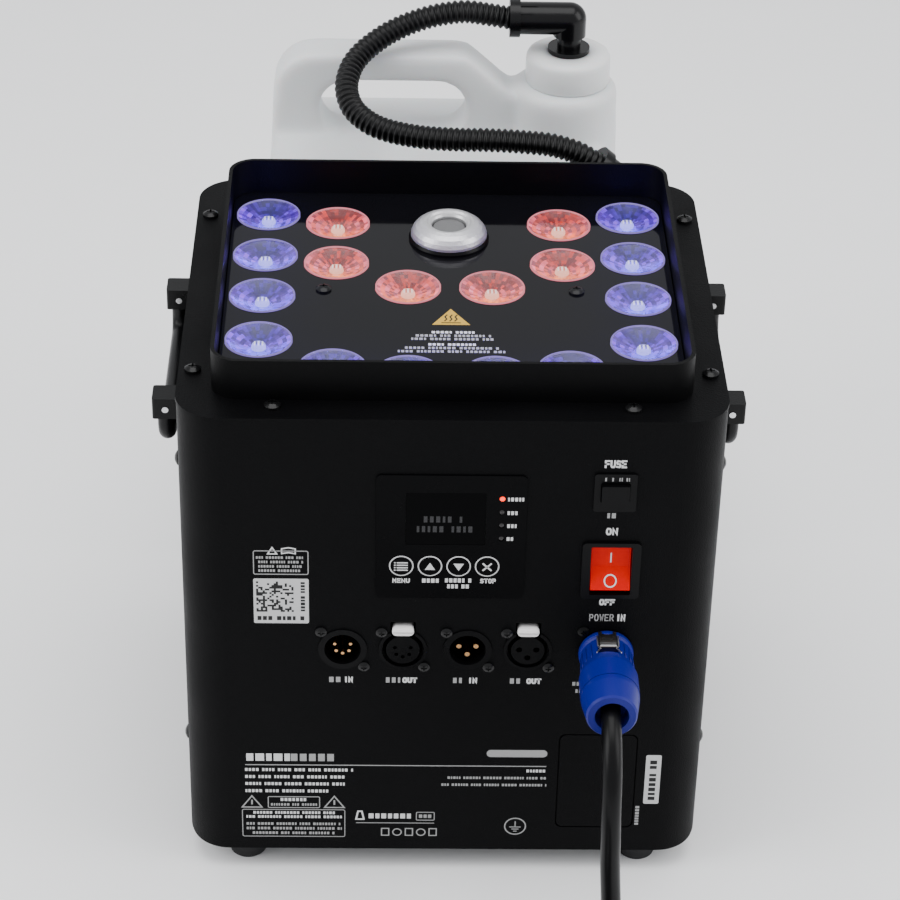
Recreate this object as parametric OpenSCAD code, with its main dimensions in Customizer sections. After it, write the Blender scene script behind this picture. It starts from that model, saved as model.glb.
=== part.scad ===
// Compact vertical fog machine with a lit outlet well, fold-down side handles and an external fluid can.
// Millimetres. +Z up, the control face looks along -Y, the can stands behind at +Y.
// Origin: on the surface the feet rest on, under the middle of the machine without its lead and hose.
// Values below are measured from the middle of the sheet-metal housing; placed() moves all by centre_y.

/* [Housing] */
// Width of the housing
body_w = 240; // [236:1:246]
// Depth of the housing
body_d = 217; // [214:1:222]
// Height of the housing from its base plate to the top of its top plate
body_h = 241.5; // [240:0.5:244]
// Height of the rubber feet
foot_h = 12; // [10:1:14]
// Radius of the four upright corners
corner_r = 19; // [17:1:21]
// Thickness of the sheet steel
sheet = 1.5; // [1.2:0.1:1.8]

/* [Outlet well] */
// Width of the raised rim
rim_w = 210.2; // [208:0.2:212]
// Depth of the raised rim
rim_d = 187.2; // [185:0.2:189]
// Height of the rim above the top plate
rim_h = 19.5; // [17:0.5:21]
// Corner radius of the rim
rim_r = 12.4; // [11:0.2:14]
// Wall thickness of the rim
rim_t = 1.8; // [1.5:0.1:2]
// Radius of each lens
lens_r = 15.3; // [14.9:0.1:15.3]
// Radius of the nozzle dome
dome_r = 17.9; // [17.5:0.1:18.5]
// Radius of the nozzle outlet
outlet_r = 8.2; // [8:0.1:8.4]

/* [Front panel] */
// Height of the row of sockets above the floor
socket_z = 130.5; // [129:0.5:132]
// Radius of a socket's barrel
socket_r = 11; // [10.8:0.1:11.1]
// Middle of the switch column, to the right of centre
switch_x = 71.3; // [70:0.1:73]
// Height of the rocker switch
rocker_z = 175.5; // [174:0.5:177]
// Turn of the rocker between on and off, in degrees
rocker_turn = 22; // [18:1:24]

/* [Handles] */
// Diameter of the bail's round bar
bail_d = 8; // [7.6:0.1:8]
// Distance from the housing wall out to the hinge pins
bail_out = 9.5; // [9.2:0.1:9.8]
// Height of the hinge pins above the floor
bail_z = 213; // [211:1:214]
// Drop from the hinge pins to the grip's centre line
bail_drop = 18.5; // [17:0.5:20]

/* [Fluid can] */
// Width of the can
can_w = 183; // [178:1:184]
// Depth of the can
can_d = 116; // [112:1:116]
// Top of the can's handle above the floor
can_top = 280.5; // [279:0.5:281]
// Wall thickness of the can
can_t = 2.2; // [1.8:0.1:2.6]

/* [Hose and lead] */
// Outer diameter of the corrugated hose
hose_d = 12.2; // [11.8:0.1:12.4]
// Diameter of the mains lead
lead_d = 9; // [8.6:0.1:9]

/* [Hidden] */

$fn = 64;
eps = 0.01;

body_z0 = foot_h;
top_z = body_z0 + body_h;
front_y = -body_d / 2;
back_y = body_d / 2;
side_x = body_w / 2;
inner_front_y = front_y + sheet;

lens_z = top_z + 3.2;
panel_z = lens_z - 0.7;
panel_t = 3;
panel_w = rim_w - 2 * rim_t - 1.2;
panel_d = rim_d - 2 * rim_t - 1.2;
blue_left = [[-85.9, 68.5], [-85.9, 29.1], [-85.9, -8.5], [-85.9, -47.5], [-52.6, -70.5], [-19.3, -75.4]];
amber_left = [[-52.6, 60.7], [-52.6, 22.4], [-19.3, 0.5]];
function mirrored(points) = [for (p = points) [-p[0], p[1]]];
blue_xy = concat(blue_left, mirrored(blue_left));
amber_xy = concat(amber_left, mirrored(amber_left));
lens_xy = concat(blue_xy, amber_xy);
nozzle_y = 47;
panel_screw_xy = [[-58, -2.4], [58, -2.4]];
top_screw_xy = [[-113.8, -69.7], [113.8, -69.7], [-113.8, 71.6], [113.8, 71.6],
    [-77.9, -98.9], [77.9, -98.9], [-77.9, 98.9], [77.9, 98.9]];
side_screw_yz = [[-84, 63], [-84, 217], [84, 63], [84, 217]];
rear_screw_xz = [[-96, 34], [96, 34], [-96, 130], [96, 130], [-96, 222], [96, 222], [0, 237]];
foot_xy = [[-93, -93], [93, -93], [-93, 93], [93, 93]];

overlay_w = 66;
overlay_h = 65.6;
overlay_z = 192.5;
overlay_t = 0.7;
window_w = 35;
window_h = 27.3;
window_x = -2.4;
window_z = 202.5;
button_x = [-21.6, -8.9, 3.8, 16.4];
button_z = 177.2;
button_r = 4.6;
button_proud = 0.5;
lamp_x = 22.2;
lamp_z = [213.3, 206.2, 199.2, 192.1];
board_y = -98;

socket_x = [-47.6, -20.4, 8.8, 36];
socket_screw_off = 9.65;
well_r = 8.2;
well_depth = 18;
groove_r = 9.5;
insert_r = 7.6;
groove_depth = 11;
tab_rise = 10.5;
pin5 = [for (a = [20, 160, 220, 270, 320]) [3.8 * cos(a), 3.8 * sin(a)]];
pin3 = [for (a = [8, 172, 270]) [3.9 * cos(a), 3.9 * sin(a)]];
hole5_r = 0.9;
hole3_r = 1.4;
contact_in = 1.8;

breaker_z = 217;
breaker_w = 18.6;
breaker_h = 19.6;
breaker_button_w = 12.2;
breaker_button_h = 9.4;
rocker_bezel = [26, 30];
rocker_opening = [18.2, 25.8];
rocker_r = 12.6;
rocker_w = 17.6;
rocker_pivot_y = front_y + 5.8;
plug_z = 130;
blank_w = 35.5;
blank_h = 54.7;
blank_x = 70.6;
blank_z = 54.2;

pin_x = side_x + bail_out;
bail_r = bail_d / 2;
leg_y = [-32.4, 66.1];
lug_in = bail_r + 0.3;
lug_out = 6.2;
bend_r = 8;
hinge_pin_r = 1.5;

fan_x = -30;
fan_z = 168;
fan_size = 60;

can_y = 206;
can_z0 = foot_h + 2.3;
grip_t = 24;
neck_x = 63.4;
neck_r = 16.5;
neck_top = 275;
cap_r = 21.8;
cap_z0 = 262.9;
cap_top = 279;
elbow_z = 297;
elbow_mouth = 31;
elbow_r = 8.4;
elbow_ring_r = 9.9;
hose_r = hose_d / 2;
rear_stem = [92, 128.4, 239];
rear_tilt = 40;
rear_mouth = 24;

// Hose route from the cap elbow, round to the left and forward, and down into the rear elbow
hose_route = [[45, 206, 297], [33, 206, 297], [23, 206, 298.5], [11, 205, 300.5],
    [1, 204.5, 299.8], [-9, 203, 298.2],
    [-19, 201, 295.4], [-29, 197, 292], [-37, 192, 288.4], [-43, 187, 285], [-47.5, 181, 281.2],
    [-50, 173, 276.8], [-50, 166, 273], [-47.5, 159, 269], [-43, 153, 266.5], [-36, 147.5, 264.3],
    [-27, 143, 263.2], [-16, 138.5, 263.2], [-5, 135, 263.8], [7, 132, 264.8], [19, 130, 265.8],
    [31, 128.8, 266], [42, 128.4, 265.4], [51, 128.4, 264.4], [60, 128.4, 262], [67, 128.4, 259],
    [74, 128.4, 254.2], [81, 128.4, 248.3]];
// Lead route: out of the chuck, down in front of the housing, and on to the coil on the floor
lead_route = [[71, -142, 130], [71, -151, 129.5], [71, -162, 126], [71, -171, 119], [71, -177.5, 109],
    [71, -181, 97], [71.5, -182, 83], [72, -182, 68], [73, -182, 52], [74, -183, 37], [75, -186.5, 24],
    [75, -194, 13], [75.5, -203, 6.6], [76, -214, 4.7], [76, -236, 4.7]];
// Tail route: off the coil to the mains plug
tail_route = [[-13, -316, 14], [-20, -316, 15], [-29, -316, 16.8], [-39, -316, 18.6],
    [-51, -316, 19.2]];
coil_x = 22;
coil_y = -266;
coil_mean_r = 45;
coil_w = 28;
coil_h = 18.6;
plug_end_x = -51;
plug_axis_y = -316;
plug_axis_z = 19.2;

// Middle of the object's depth, measured from the middle of the housing
centre_y = 77.6;

// ---- shared shapes ----

module placed() {
    translate([0, -centre_y, 0])
        children();
}

module rrect(w, d, r) {
    square([w - 2 * r, d], center = true);
    square([w, d - 2 * r], center = true);
    for (sx = [-1, 1], sy = [-1, 1])
        translate([sx * (w / 2 - r), sy * (d / 2 - r)])
            circle(r);
}

module slab(w, d, r, h) {
    linear_extrude(h)
        rrect(w, d, r);
}

// A cylinder whose axis runs along +Y from the given face
module rod_y(x, y, z, r, length) {
    translate([x, y, z])
        rotate([-90, 0, 0])
            cylinder(r = r, h = length);
}

// A rounded plate that stands in the XZ plane and is t thick towards +Y
module plate_y(x, y, z, w, h, r, t) {
    translate([x, y + t, z])
        rotate([90, 0, 0])
            slab(w, h, r, t);
}

// A solid of revolution about -Y, from a profile of [radius, distance out] points
module turned_out(x, y, z, profile) {
    translate([x, y, z])
        rotate([90, 0, 0])
            rotate_extrude()
                polygon(profile);
}

module pan_head(r, h) {
    difference() {
        intersection() {
            cylinder(r = r, h = h);
            translate([0, 0, h - r * 1.5])
                sphere(r * 1.5);
        }
        for (a = [0, 90])
            rotate(a)
                translate([-r * 0.5, -r * 0.11, h * 0.55])
                    cube([r, r * 0.22, h]);
    }
}

function unit(v) = v / norm(v);
function route_dir(p, i) =
    i == 0 ? unit(p[1] - p[0])
    : i == len(p) - 1 ? unit(p[i] - p[i - 1])
    : unit(unit(p[i] - p[i - 1]) + unit(p[i + 1] - p[i]));
function side_of(d) = unit(cross(d, abs(d[2]) > 0.9 ? [1, 0, 0] : [0, 0, 1]));
// Side vectors carried along the route so that the tube does not twist
function carried(p, i) =
    i == 0 ? side_of(route_dir(p, 0))
    : let (d = route_dir(p, i), s = carried(p, i - 1)) unit(s - d * (s * d));
function tube_ring(p, i, r, n) =
    let (d = route_dir(p, i), s = carried(p, i), u = cross(d, s))
    [for (k = [0 : n - 1]) p[i] + r * (cos(360 * k / n) * s + sin(360 * k / n) * u)];

module route_tube(p, r, n) {
    points = [for (i = [0 : len(p) - 1]) each tube_ring(p, i, r, n)];
    last = (len(p) - 1) * n;
    sides = [for (i = [0 : len(p) - 2], k = [0 : n - 1])
        [(i + 1) * n + k, (i + 1) * n + (k + 1) % n, i * n + (k + 1) % n, i * n + k]];
    ends = [[for (k = [0 : n - 1]) k], [for (k = [n - 1 : -1 : 0]) last + k]];
    polyhedron(points = points, faces = concat(sides, ends), convexity = 6);
}

module base_plate() {
    placed() color("#232325")
        translate([0, 0, body_z0]) {
            difference() {
                slab(body_w - 0.8, body_d - 0.8, corner_r - 0.4, sheet);
                for (p = foot_xy)
                    translate([p[0], p[1], -1])
                        cylinder(r = 2.2, h = 5);
            }
            translate([0, 0, sheet])
                difference() {
                    slab(body_w - 2 * sheet - 0.4, body_d - 2 * sheet - 0.4, corner_r - sheet, 8);
                    translate([0, 0, -1])
                        slab(body_w - 4 * sheet - 0.4, body_d - 4 * sheet - 0.4, corner_r - 2 * sheet, 10);
                }
        }
}

module shell_cutouts() {
    reach = 12;
    cut_y = front_y - 4;
    plate_y(window_x, cut_y, window_z, window_w + 0.6, window_h + 0.6, 1.2, reach);
    for (x = button_x)
        rod_y(x, cut_y, button_z, button_r + 0.4, reach);
    for (z = lamp_z)
        rod_y(lamp_x, cut_y, z, 1.5, reach);
    for (x = socket_x) {
        rod_y(x, cut_y, socket_z, socket_r + 0.1, reach);
        for (s = [-1, 1])
            rod_y(x + s * socket_screw_off, cut_y, socket_z - s * socket_screw_off, 1.6, reach);
    }
    for (x = [socket_x[1], socket_x[3]])
        plate_y(x, cut_y, socket_z + 11.6, 11.4, 8, 0.8, reach);
    plate_y(switch_x, cut_y, breaker_z, 16.4, 17, 0.6, reach);
    plate_y(switch_x, cut_y, rocker_z, 22.6, 27.6, 0.8, reach);
    rod_y(switch_x, cut_y, plug_z, 12.4, reach);
    plate_y(blank_x, cut_y, blank_z, blank_w + 1.2, blank_h + 1.2, 3.4, reach);
}

module body_shell() {
    wall_h = body_h - 2 * sheet - 0.1;
    placed() color("#29292b")
        difference() {
            translate([0, 0, body_z0 + sheet + 0.05])
                difference() {
                    slab(body_w, body_d, corner_r, wall_h);
                    translate([0, 0, -1])
                        slab(body_w - 2 * sheet, body_d - 2 * sheet, corner_r - sheet, wall_h - sheet + 1);
                    translate([0, 0, wall_h - 5])
                        slab(body_w - 28, body_d - 30, 8, 10);
                }
            plate_y(0, back_y - 6, 130, 184, 204, 6, 12);
            shell_cutouts();
            for (p = top_screw_xy)
                translate([p[0], p[1], top_z - 8])
                    cylinder(r = 1.6, h = 10);
            for (p = side_screw_yz)
                translate([-side_x - 5, p[0], p[1]])
                    rotate([0, 90, 0])
                        cylinder(r = 1.6, h = body_w + 10);
            for (p = rear_screw_xz)
                rod_y(p[0], back_y - 6, p[1], 1.6, 12);
            rod_y(rear_stem[0], back_y - 6, rear_stem[2], 6.2, 12);
        }
}

module rear_panel() {
    slot_pitch = 7;
    placed() color("#29292b")
        difference() {
            plate_y(0, back_y + 0.05, 131, 206, 222, 4, sheet);
            for (k = [-3.5 : 1 : 3.5])
                plate_y(fan_x, back_y - 3, fan_z + k * slot_pitch,
                    2 * sqrt(27 * 27 - pow(k * slot_pitch, 2)) - 4, 3.4, 1.69, 10);
            for (p = rear_screw_xz)
                rod_y(p[0], back_y - 3, p[1], 1.6, 10);
            rod_y(rear_stem[0], back_y - 3, rear_stem[2], 6.2, 10);
            for (x = [-70, 70], z = [40, 84])
                rod_y(x, back_y - 3, z, 1.6, 10);
        }
}

module top_plate() {
    placed() color("#2b2b2d")
        translate([0, 0, top_z - sheet])
            difference() {
                slab(body_w + 0.6, body_d + 0.6, corner_r + 0.3, sheet);
                translate([0, 0, -1])
                    slab(panel_w - 2, panel_d - 2, rim_r - rim_t - 1, 5);
                for (p = top_screw_xy)
                    translate([p[0], p[1], -1])
                        cylinder(r = 1.7, h = 5);
            }
}

module rim_frame() {
    placed() color("#262628")
        translate([0, 0, top_z])
            difference() {
                slab(rim_w, rim_d, rim_r, rim_h);
                translate([0, 0, -1])
                    slab(rim_w - 2 * rim_t, rim_d - 2 * rim_t, rim_r - rim_t, rim_h + 2);
            }
}

module lens_panel() {
    placed() color("#0c0c0e")
        translate([0, 0, panel_z - panel_t + 0.5])
            difference() {
                slab(panel_w, panel_d, rim_r - rim_t - 0.5, panel_t - 0.5);
                for (p = lens_xy)
                    translate([p[0], p[1], -1])
                        cylinder(r = lens_r + 0.05, h = 6);
                translate([0, nozzle_y, -1])
                    cylinder(r = 15, h = 6);
                for (p = panel_screw_xy)
                    translate([p[0], p[1], -1])
                        cylinder(r = 1.6, h = 6);
            }
}

module lens() {
    difference() {
        union() {
            translate([0, 0, lens_z - 3])
                cylinder(r = lens_r, h = 3);
            translate([0, 0, lens_z - 15])
                cylinder(r1 = 5.5, r2 = lens_r - 1.2, h = 12 + eps);
        }
        translate([0, 0, lens_z - 0.6])
            cylinder(r = lens_r - 0.9, h = 2);
        translate([0, 0, lens_z - 6])
            cylinder(r1 = 3, r2 = 5.5, h = 8);
    }
}

module lenses_blue() {
    placed() color("#3a3ae8")
        for (p = blue_xy)
            translate([p[0], p[1], 0])
                lens();
}

module lenses_amber() {
    placed() color("#e88a50")
        for (p = amber_xy)
            translate([p[0], p[1], 0])
                lens();
}

module led_board() {
    board_top = lens_z - 17;
    placed() color("#1d4a2a")
        difference() {
            translate([0, 0, board_top - 1.6])
                slab(panel_w - 8, panel_d - 8, 6, 1.6);
            translate([0, nozzle_y, board_top - 5])
                cylinder(r = 24, h = 10);
        }
    placed() color("#f0e8c0")
        for (p = lens_xy)
            translate([p[0], p[1], board_top - eps])
                cylinder(r = 2.5, h = 1.5);
}

module nozzle_ring() {
    placed() color("#1a1a1b")
        translate([0, nozzle_y, panel_z + 0.05])
            rotate_extrude()
                polygon([[13, 0], [18.9, 0], [18.9, 1], [18.2, 2.2], [13, 2.2]]);
}

module nozzle_dome() {
    placed() color("#c9cacb")
        translate([0, nozzle_y, panel_z + 2.3])
            rotate_extrude()
                polygon([[outlet_r, -4], [12, -4], [12, 0], [dome_r, 0], [dome_r, 1.2], [17.2, 3],
                    [15.8, 4.8], [13.9, 6.2], [11.8, 7], [10.6, 7], [9.9, 6.2], [8.8, 6], [outlet_r, 5]]);
    placed() color("#8a8a8c")
        translate([0, nozzle_y, 0])
            difference() {
                translate([0, 0, panel_z - 22])
                    cylinder(r = 11.9, h = 20.3 + eps);
                translate([0, 0, panel_z - 30])
                    cylinder(r = outlet_r, h = 40);
            }
}

module panel_screws() {
    placed() color("#101011")
        for (p = panel_screw_xy)
            translate([p[0], p[1], panel_z + 0.02]) {
                pan_head(3.6, 2.2);
                translate([0, 0, -7])
                    cylinder(r = 1.45, h = 7 + eps);
            }
}

module top_screws() {
    placed() color("#101011")
        for (p = top_screw_xy)
            translate([p[0], p[1], top_z + 0.02]) {
                pan_head(3.7, 2.6);
                translate([0, 0, -7])
                    cylinder(r = 1.5, h = 7 + eps);
            }
}

module case_screw(head_r) {
    pan_head(head_r, 2);
    translate([0, 0, -6])
        cylinder(r = 1.5, h = 6 + eps);
}

module case_screws() {
    placed() color("#101011") {
        for (p = side_screw_yz, s = [-1, 1])
            translate([s * (side_x + 0.02), p[0], p[1]])
                rotate([0, s * 90, 0])
                    case_screw(3.4);
        for (p = rear_screw_xz)
            translate([p[0], back_y + sheet + 0.07, p[1]])
                rotate([-90, 0, 0])
                    case_screw(3.2);
    }
}

module feet() {
    placed() color("#161617")
        for (p = foot_xy)
            translate([p[0], p[1], 0])
                rotate_extrude()
                    polygon([[0, 0.0], [8, 0], [8.6, 0.6], [9.3, foot_h - 1], [9.3, foot_h - 0.02],
                        [2, foot_h - 0.02], [2, foot_h + 5], [0, foot_h + 5]]);
}

// ---- front panel ----

module control_overlay() {
    placed() color("#111113")
        difference() {
            plate_y(0, front_y - overlay_t - 0.02, overlay_z, overlay_w, overlay_h, 2.5, overlay_t);
            plate_y(window_x, front_y - 5, window_z, window_w + 0.2, window_h + 0.2, 1, 10);
            for (x = button_x)
                rod_y(x, front_y - 5, button_z, button_r + 0.3, 10);
            for (z = lamp_z)
                rod_y(lamp_x, front_y - 5, z, 1.3, 10);
        }
}

module display_window() {
    placed() color("#1c2a2e")
        plate_y(window_x, front_y - overlay_t + 0.1, window_z, window_w, window_h, 1, 2.4);
}

module status_lamps() {
    placed() color("#c83030")
        for (z = lamp_z) {
            rod_y(lamp_x, front_y - overlay_t - 0.1, z, 1.2, 7);
            rod_y(lamp_x, board_y - 4, z, 1.0, 3.9);
        }
}

module control_board() {
    placed() color("#1d4a2a")
        plate_y(0, board_y, overlay_z, 72, 62, 2, 1.6);
    placed() color("#30343a")
        plate_y(window_x, front_y + 2.2, window_z, 40, 32, 1, board_y - front_y - 2.2 + eps);
    placed() color("#404044")
        for (x = button_x)
            plate_y(x, board_y - 3.2, button_z, 6, 6, 0.5, 3.2 + eps);
}

module key(x) {
    rod_y(x, front_y - overlay_t - button_proud, button_z, button_r, 6);
    rod_y(x, front_y - overlay_t - button_proud + 6 - eps, button_z, 2, 1.0);
}

module button_menu() {
    placed() color("#161618")
        key(button_x[0]);
}

module button_up() {
    placed() color("#161618")
        key(button_x[1]);
}

module button_down() {
    placed() color("#161618")
        key(button_x[2]);
}

module button_exit() {
    placed() color("#161618")
        key(button_x[3]);
}

module socket_flange(x) {
    difference() {
        plate_y(x, inner_front_y + 0.05, socket_z, 26, 30, 2, 2.2);
        rod_y(x, front_y - 5, socket_z, 9, 20);
        for (s = [-1, 1])
            rod_y(x + s * socket_screw_off, front_y - 5, socket_z - s * socket_screw_off, 1.45, 20);
    }
}

// A male socket: a round well with a closed floor; its contacts are in socket_pins
module socket_male(x) {
    placed() color("#18181a") {
        socket_flange(x);
        difference() {
            rod_y(x, front_y - 0.6, socket_z, socket_r, 24);
            rod_y(x, front_y - 1, socket_z, well_r, well_depth + 1);
        }
    }
}

// A female socket: a solid insert with contact holes, inside an annular groove
module socket_female(x, pins, hole_r) {
    placed() color("#18181a") {
        difference() {
            socket_flange(x);
            plate_y(x, front_y - 2, socket_z + tab_rise, 11.2, 7, 0.6, 10);
        }
        difference() {
            rod_y(x, front_y - 0.6, socket_z, socket_r, 24);
            difference() {
                rod_y(x, front_y - 1, socket_z, groove_r, groove_depth + 1);
                rod_y(x, front_y - 2, socket_z, insert_r, groove_depth + 4);
            }
            for (p = pins)
                rod_y(x + p[0], front_y - 1, socket_z + p[1], hole_r, 12);
            plate_y(x, front_y - 3, socket_z + tab_rise, 11.2, 4.6, 0.6, 20);
        }
    }
}

module socket_male_5() {
    socket_male(socket_x[0]);
}

module socket_female_5() {
    socket_female(socket_x[1], pin5, hole5_r);
}

module socket_male_3() {
    socket_male(socket_x[2]);
}

module socket_female_3() {
    socket_female(socket_x[3], pin3, hole3_r);
}

module contact(x, p, r) {
    rod_y(x + p[0], front_y + contact_in, socket_z + p[1], r, well_depth - contact_in - 0.6);
}

module socket_pins() {
    placed() color("#caa24a") {
        for (p = pin5)
            contact(socket_x[0], p, 0.75);
        for (p = pin3)
            contact(socket_x[2], p, 1.15);
    }
}

module socket_screws() {
    placed() color("#101011")
        for (x = socket_x, s = [-1, 1])
            translate([x + s * socket_screw_off, front_y - 0.02, socket_z - s * socket_screw_off])
                rotate([90, 0, 0]) {
                    pan_head(2.6, 1.8);
                    translate([0, 0, -7])
                        cylinder(r = 1.4, h = 7 + eps);
                }
}

module push_tab(x) {
    placed() color("#e4e4e2") {
        plate_y(x, front_y - 1.8, socket_z + tab_rise, 9.8, 4.4, 0.7, 1.8);
        plate_y(x, front_y - eps, socket_z + tab_rise, 8, 3.4, 0.5, 8);
    }
}

module push_tab_5() {
    push_tab(socket_x[1]);
}

module push_tab_3() {
    push_tab(socket_x[3]);
}

module breaker_body() {
    placed() color("#141415")
        difference() {
            union() {
                plate_y(switch_x, front_y - 1, breaker_z, breaker_w, breaker_h, 1.2, 0.98);
                plate_y(switch_x, front_y - 0.04, breaker_z, 16, 16.6, 0.5, 26);
            }
            plate_y(switch_x, front_y - 3, breaker_z,
                breaker_button_w + 0.7, breaker_button_h + 0.7, 0.8, 16);
        }
}

module breaker_button() {
    placed() color("#202022")
        plate_y(switch_x, front_y - 3.2, breaker_z, breaker_button_w, breaker_button_h, 0.6, 13.2);
}

module rocker_frame() {
    placed() color("#131314")
        difference() {
            union() {
                plate_y(switch_x, front_y - 1.4, rocker_z, rocker_bezel[0], rocker_bezel[1], 2, 1.38);
                plate_y(switch_x, front_y - 0.04, rocker_z, 22.2, 27.2, 0.6, 24);
            }
            plate_y(switch_x, front_y - 3, rocker_z, rocker_opening[0], rocker_opening[1], 0.6, 21);
        }
}

// The rocker's outline is cut from a circle about its pivot, so it turns freely in its frame
module rocker_profile() {
    intersection() {
        circle(rocker_r);
        polygon([[4.1, 0], [6.5, 12.6], [-1, 12.6], [-7, 4], [-7, -4], [-1, -12.6], [6.5, -12.6]]);
    }
}

module rocker() {
    placed() color("#c8140c")
        translate([switch_x - rocker_w / 2, rocker_pivot_y, rocker_z])
            rotate([-rocker_turn / 2, 0, 0])
                rotate([90, 0, 90])
                    linear_extrude(rocker_w)
                        mirror([1, 0])
                            rocker_profile();
}

module power_inlet() {
    placed() color("#151516") {
        difference() {
            plate_y(switch_x, inner_front_y + 0.05, plug_z, 26, 31, 2, 2.2);
            rod_y(switch_x, front_y - 5, plug_z, 12, 20);
        }
        difference() {
            rod_y(switch_x, front_y + 1, plug_z, 12.2, 27);
            rod_y(switch_x, front_y, plug_z, 10.4, 22);
        }
    }
    placed() color("#101011")
        translate([switch_x - 10.6, front_y - 0.02, plug_z + 11.4])
            rotate([90, 0, 0])
                pan_head(2.6, 1.6);
}

module power_plug() {
    placed() color("#1247b8")
        difference() {
            turned_out(switch_x, front_y - 0.4, plug_z,
                [[0, -16], [10.2, -16], [10.2, 0], [12.2, 0], [12.2, 3.2], [11.6, 4.2], [11.6, 14],
                [13.3, 21], [13.3, 32.6], [9.6, 32.6], [9.6, 38], [0, 38]]);
            translate([switch_x - 4.7, front_y - 15.5, plug_z + 8.6])
                cube([9.4, 15.6, 8]);
            rod_y(switch_x, front_y - 60, plug_z, 5, 40);
        }
}

module chuck_nut() {
    placed() color("#1247b8")
        turned_out(switch_x, front_y - 33.2, plug_z,
            [[9.7, 0], [13.1, 0], [13.1, 2.5], [11.4, 13.2],
                [10.6, 14.2], [7.6, 14.2], [7.6, 5.6], [9.7, 5.6]]);
}

module plug_latch() {
    placed() color("#b9bbbd")
        difference() {
            translate([switch_x - 4.1, front_y - 12, plug_z + 9])
                cube([8.2, 11.5, 3.2]);
            translate([switch_x - 5, front_y - 9.5, plug_z + 10.2])
                cube([10, 6, 3]);
        }
}

module blank_cover() {
    placed() color("#29292b")
        difference() {
            union() {
                plate_y(blank_x, front_y, blank_z, blank_w, blank_h, 3, sheet + 0.1);
                plate_y(blank_x, inner_front_y + 0.05, blank_z, blank_w + 8, blank_h + 8, 3, 1.2);
            }
            for (s = [-1, 1])
                rod_y(blank_x + s * 19.6, front_y - 1, blank_z, 1.2, 6);
        }
}

// ---- handles ----

module hinge_lugs(s) {
    lug_bottom = bail_z - 5;
    lug_top = bail_z + bail_r + 1.5;
    placed() color("#222224")
        for (y = leg_y)
            difference() {
                translate([s * (side_x + 7.76), y, lug_bottom])
                    linear_extrude(lug_top - lug_bottom)
                        rrect(15.5, 2 * lug_out, 1.2);
                translate([s * (side_x + 11.5) - 10, y - lug_in, lug_bottom - 1])
                    cube([20, 2 * lug_in, bail_r + 6.3]);
                rod_y(s * pin_x, y - 10, bail_z, hinge_pin_r, 20);
            }
}

module hinge_lugs_left() {
    hinge_lugs(-1);
}

module hinge_lugs_right() {
    hinge_lugs(1);
}

module hinge_pins() {
    placed() color("#c4c5c6")
        for (s = [-1, 1], y = leg_y)
            rod_y(s * pin_x, y - lug_out - 0.4, bail_z, hinge_pin_r, 2 * lug_out + 0.8);
}

module bail(s) {
    leg_h = bail_drop - bend_r;
    mid_y = (leg_y[0] + leg_y[1]) / 2;
    half = (leg_y[1] - leg_y[0]) / 2;
    placed() color("#19191b")
        translate([s * pin_x, mid_y, bail_z])
            difference() {
                union() {
                    for (e = [-1, 1]) {
                        translate([0, e * half, 0])
                            sphere(bail_r);
                        translate([0, e * half, -leg_h])
                            cylinder(r = bail_r, h = leg_h);
                        translate([0, e * (half - bend_r), -leg_h])
                            rotate([0, 90, 0])
                                rotate([0, 0, e > 0 ? 0 : -90])
                                    rotate_extrude(angle = 90)
                                        translate([bend_r, 0])
                                            circle(bail_r);
                    }
                    rotate([90, 0, 0])
                        translate([0, -bail_drop, -(half - bend_r)])
                            cylinder(r = bail_r, h = 2 * (half - bend_r));
                }
                rod_y(0, -half - 10, 0, hinge_pin_r + 0.05, 2 * half + 20);
            }
}

module handle_left() {
    bail(-1);
}

module handle_right() {
    bail(1);
}

// ---- inside ----

// The heater block on its posts; fog rises round the deflector disc that stands in the nozzle

module heater() {
    disc_z = panel_z + 4.2;
    placed() color("#9a9a9a")
        translate([0, nozzle_y, 0])
            difference() {
                union() {
                    translate([0, 0, 160])
                        slab(70, 60, 8, 72);
                    translate([0, 0, 232 - eps])
                        cylinder(r = 11.9, h = panel_z - 22 - 232);
                    translate([0, 0, 232])
                        cylinder(r = 3, h = disc_z - 232 + eps);
                    translate([0, 0, disc_z])
                        cylinder(r = outlet_r - 0.8, h = 2);
                }
                for (a = [0 : 60 : 300])
                    rotate(a)
                        translate([5.6, 0, 190])
                            cylinder(r = 1.2, h = 50);
            }
    placed() color("#d8d2c0")
        translate([0, nozzle_y, 154])
            slab(84, 74, 8, 6);
    placed() color("#8a8a8a")
        for (x = [-30, 30], y = [nozzle_y - 26, nozzle_y + 26])
            translate([x, y, body_z0 + sheet])
                cylinder(r = 3, h = 154 - body_z0 - sheet + eps);
}

module pump() {
    placed() color("#3a3a3c") {
        translate([-80, -36, body_z0 + sheet])
            cube([44, 60, 4]);
        translate([-58, -34, 42])
            rotate([-90, 0, 0])
                cylinder(r = 15, h = 46);
        translate([-68, -26, 17])
            cube([20, 30, 12]);
    }
    placed() color("#c9a84a")
        translate([-58, 12 - eps, 42])
            rotate([-90, 0, 0])
                cylinder(r = 6, h = 12);
}

module power_supply() {
    placed() color("#b4b6b8")
        translate([78, 20, body_z0 + sheet])
            linear_extrude(46)
                rrect(56, 120, 2);
    placed() color("#1d4a2a")
        translate([-84, -60, 120])
            cube([1.6, 120, 90]);
    placed() color("#303034")
        for (y = [-40, 0, 40])
            translate([-82.4 - eps, y, 150])
                cube([14, 20, 30]);
    placed() color("#8a8a8a")
        for (y = [-55, 55])
            translate([-85, y - 3, body_z0 + sheet])
                cube([3, 6, 200]);
}

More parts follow.
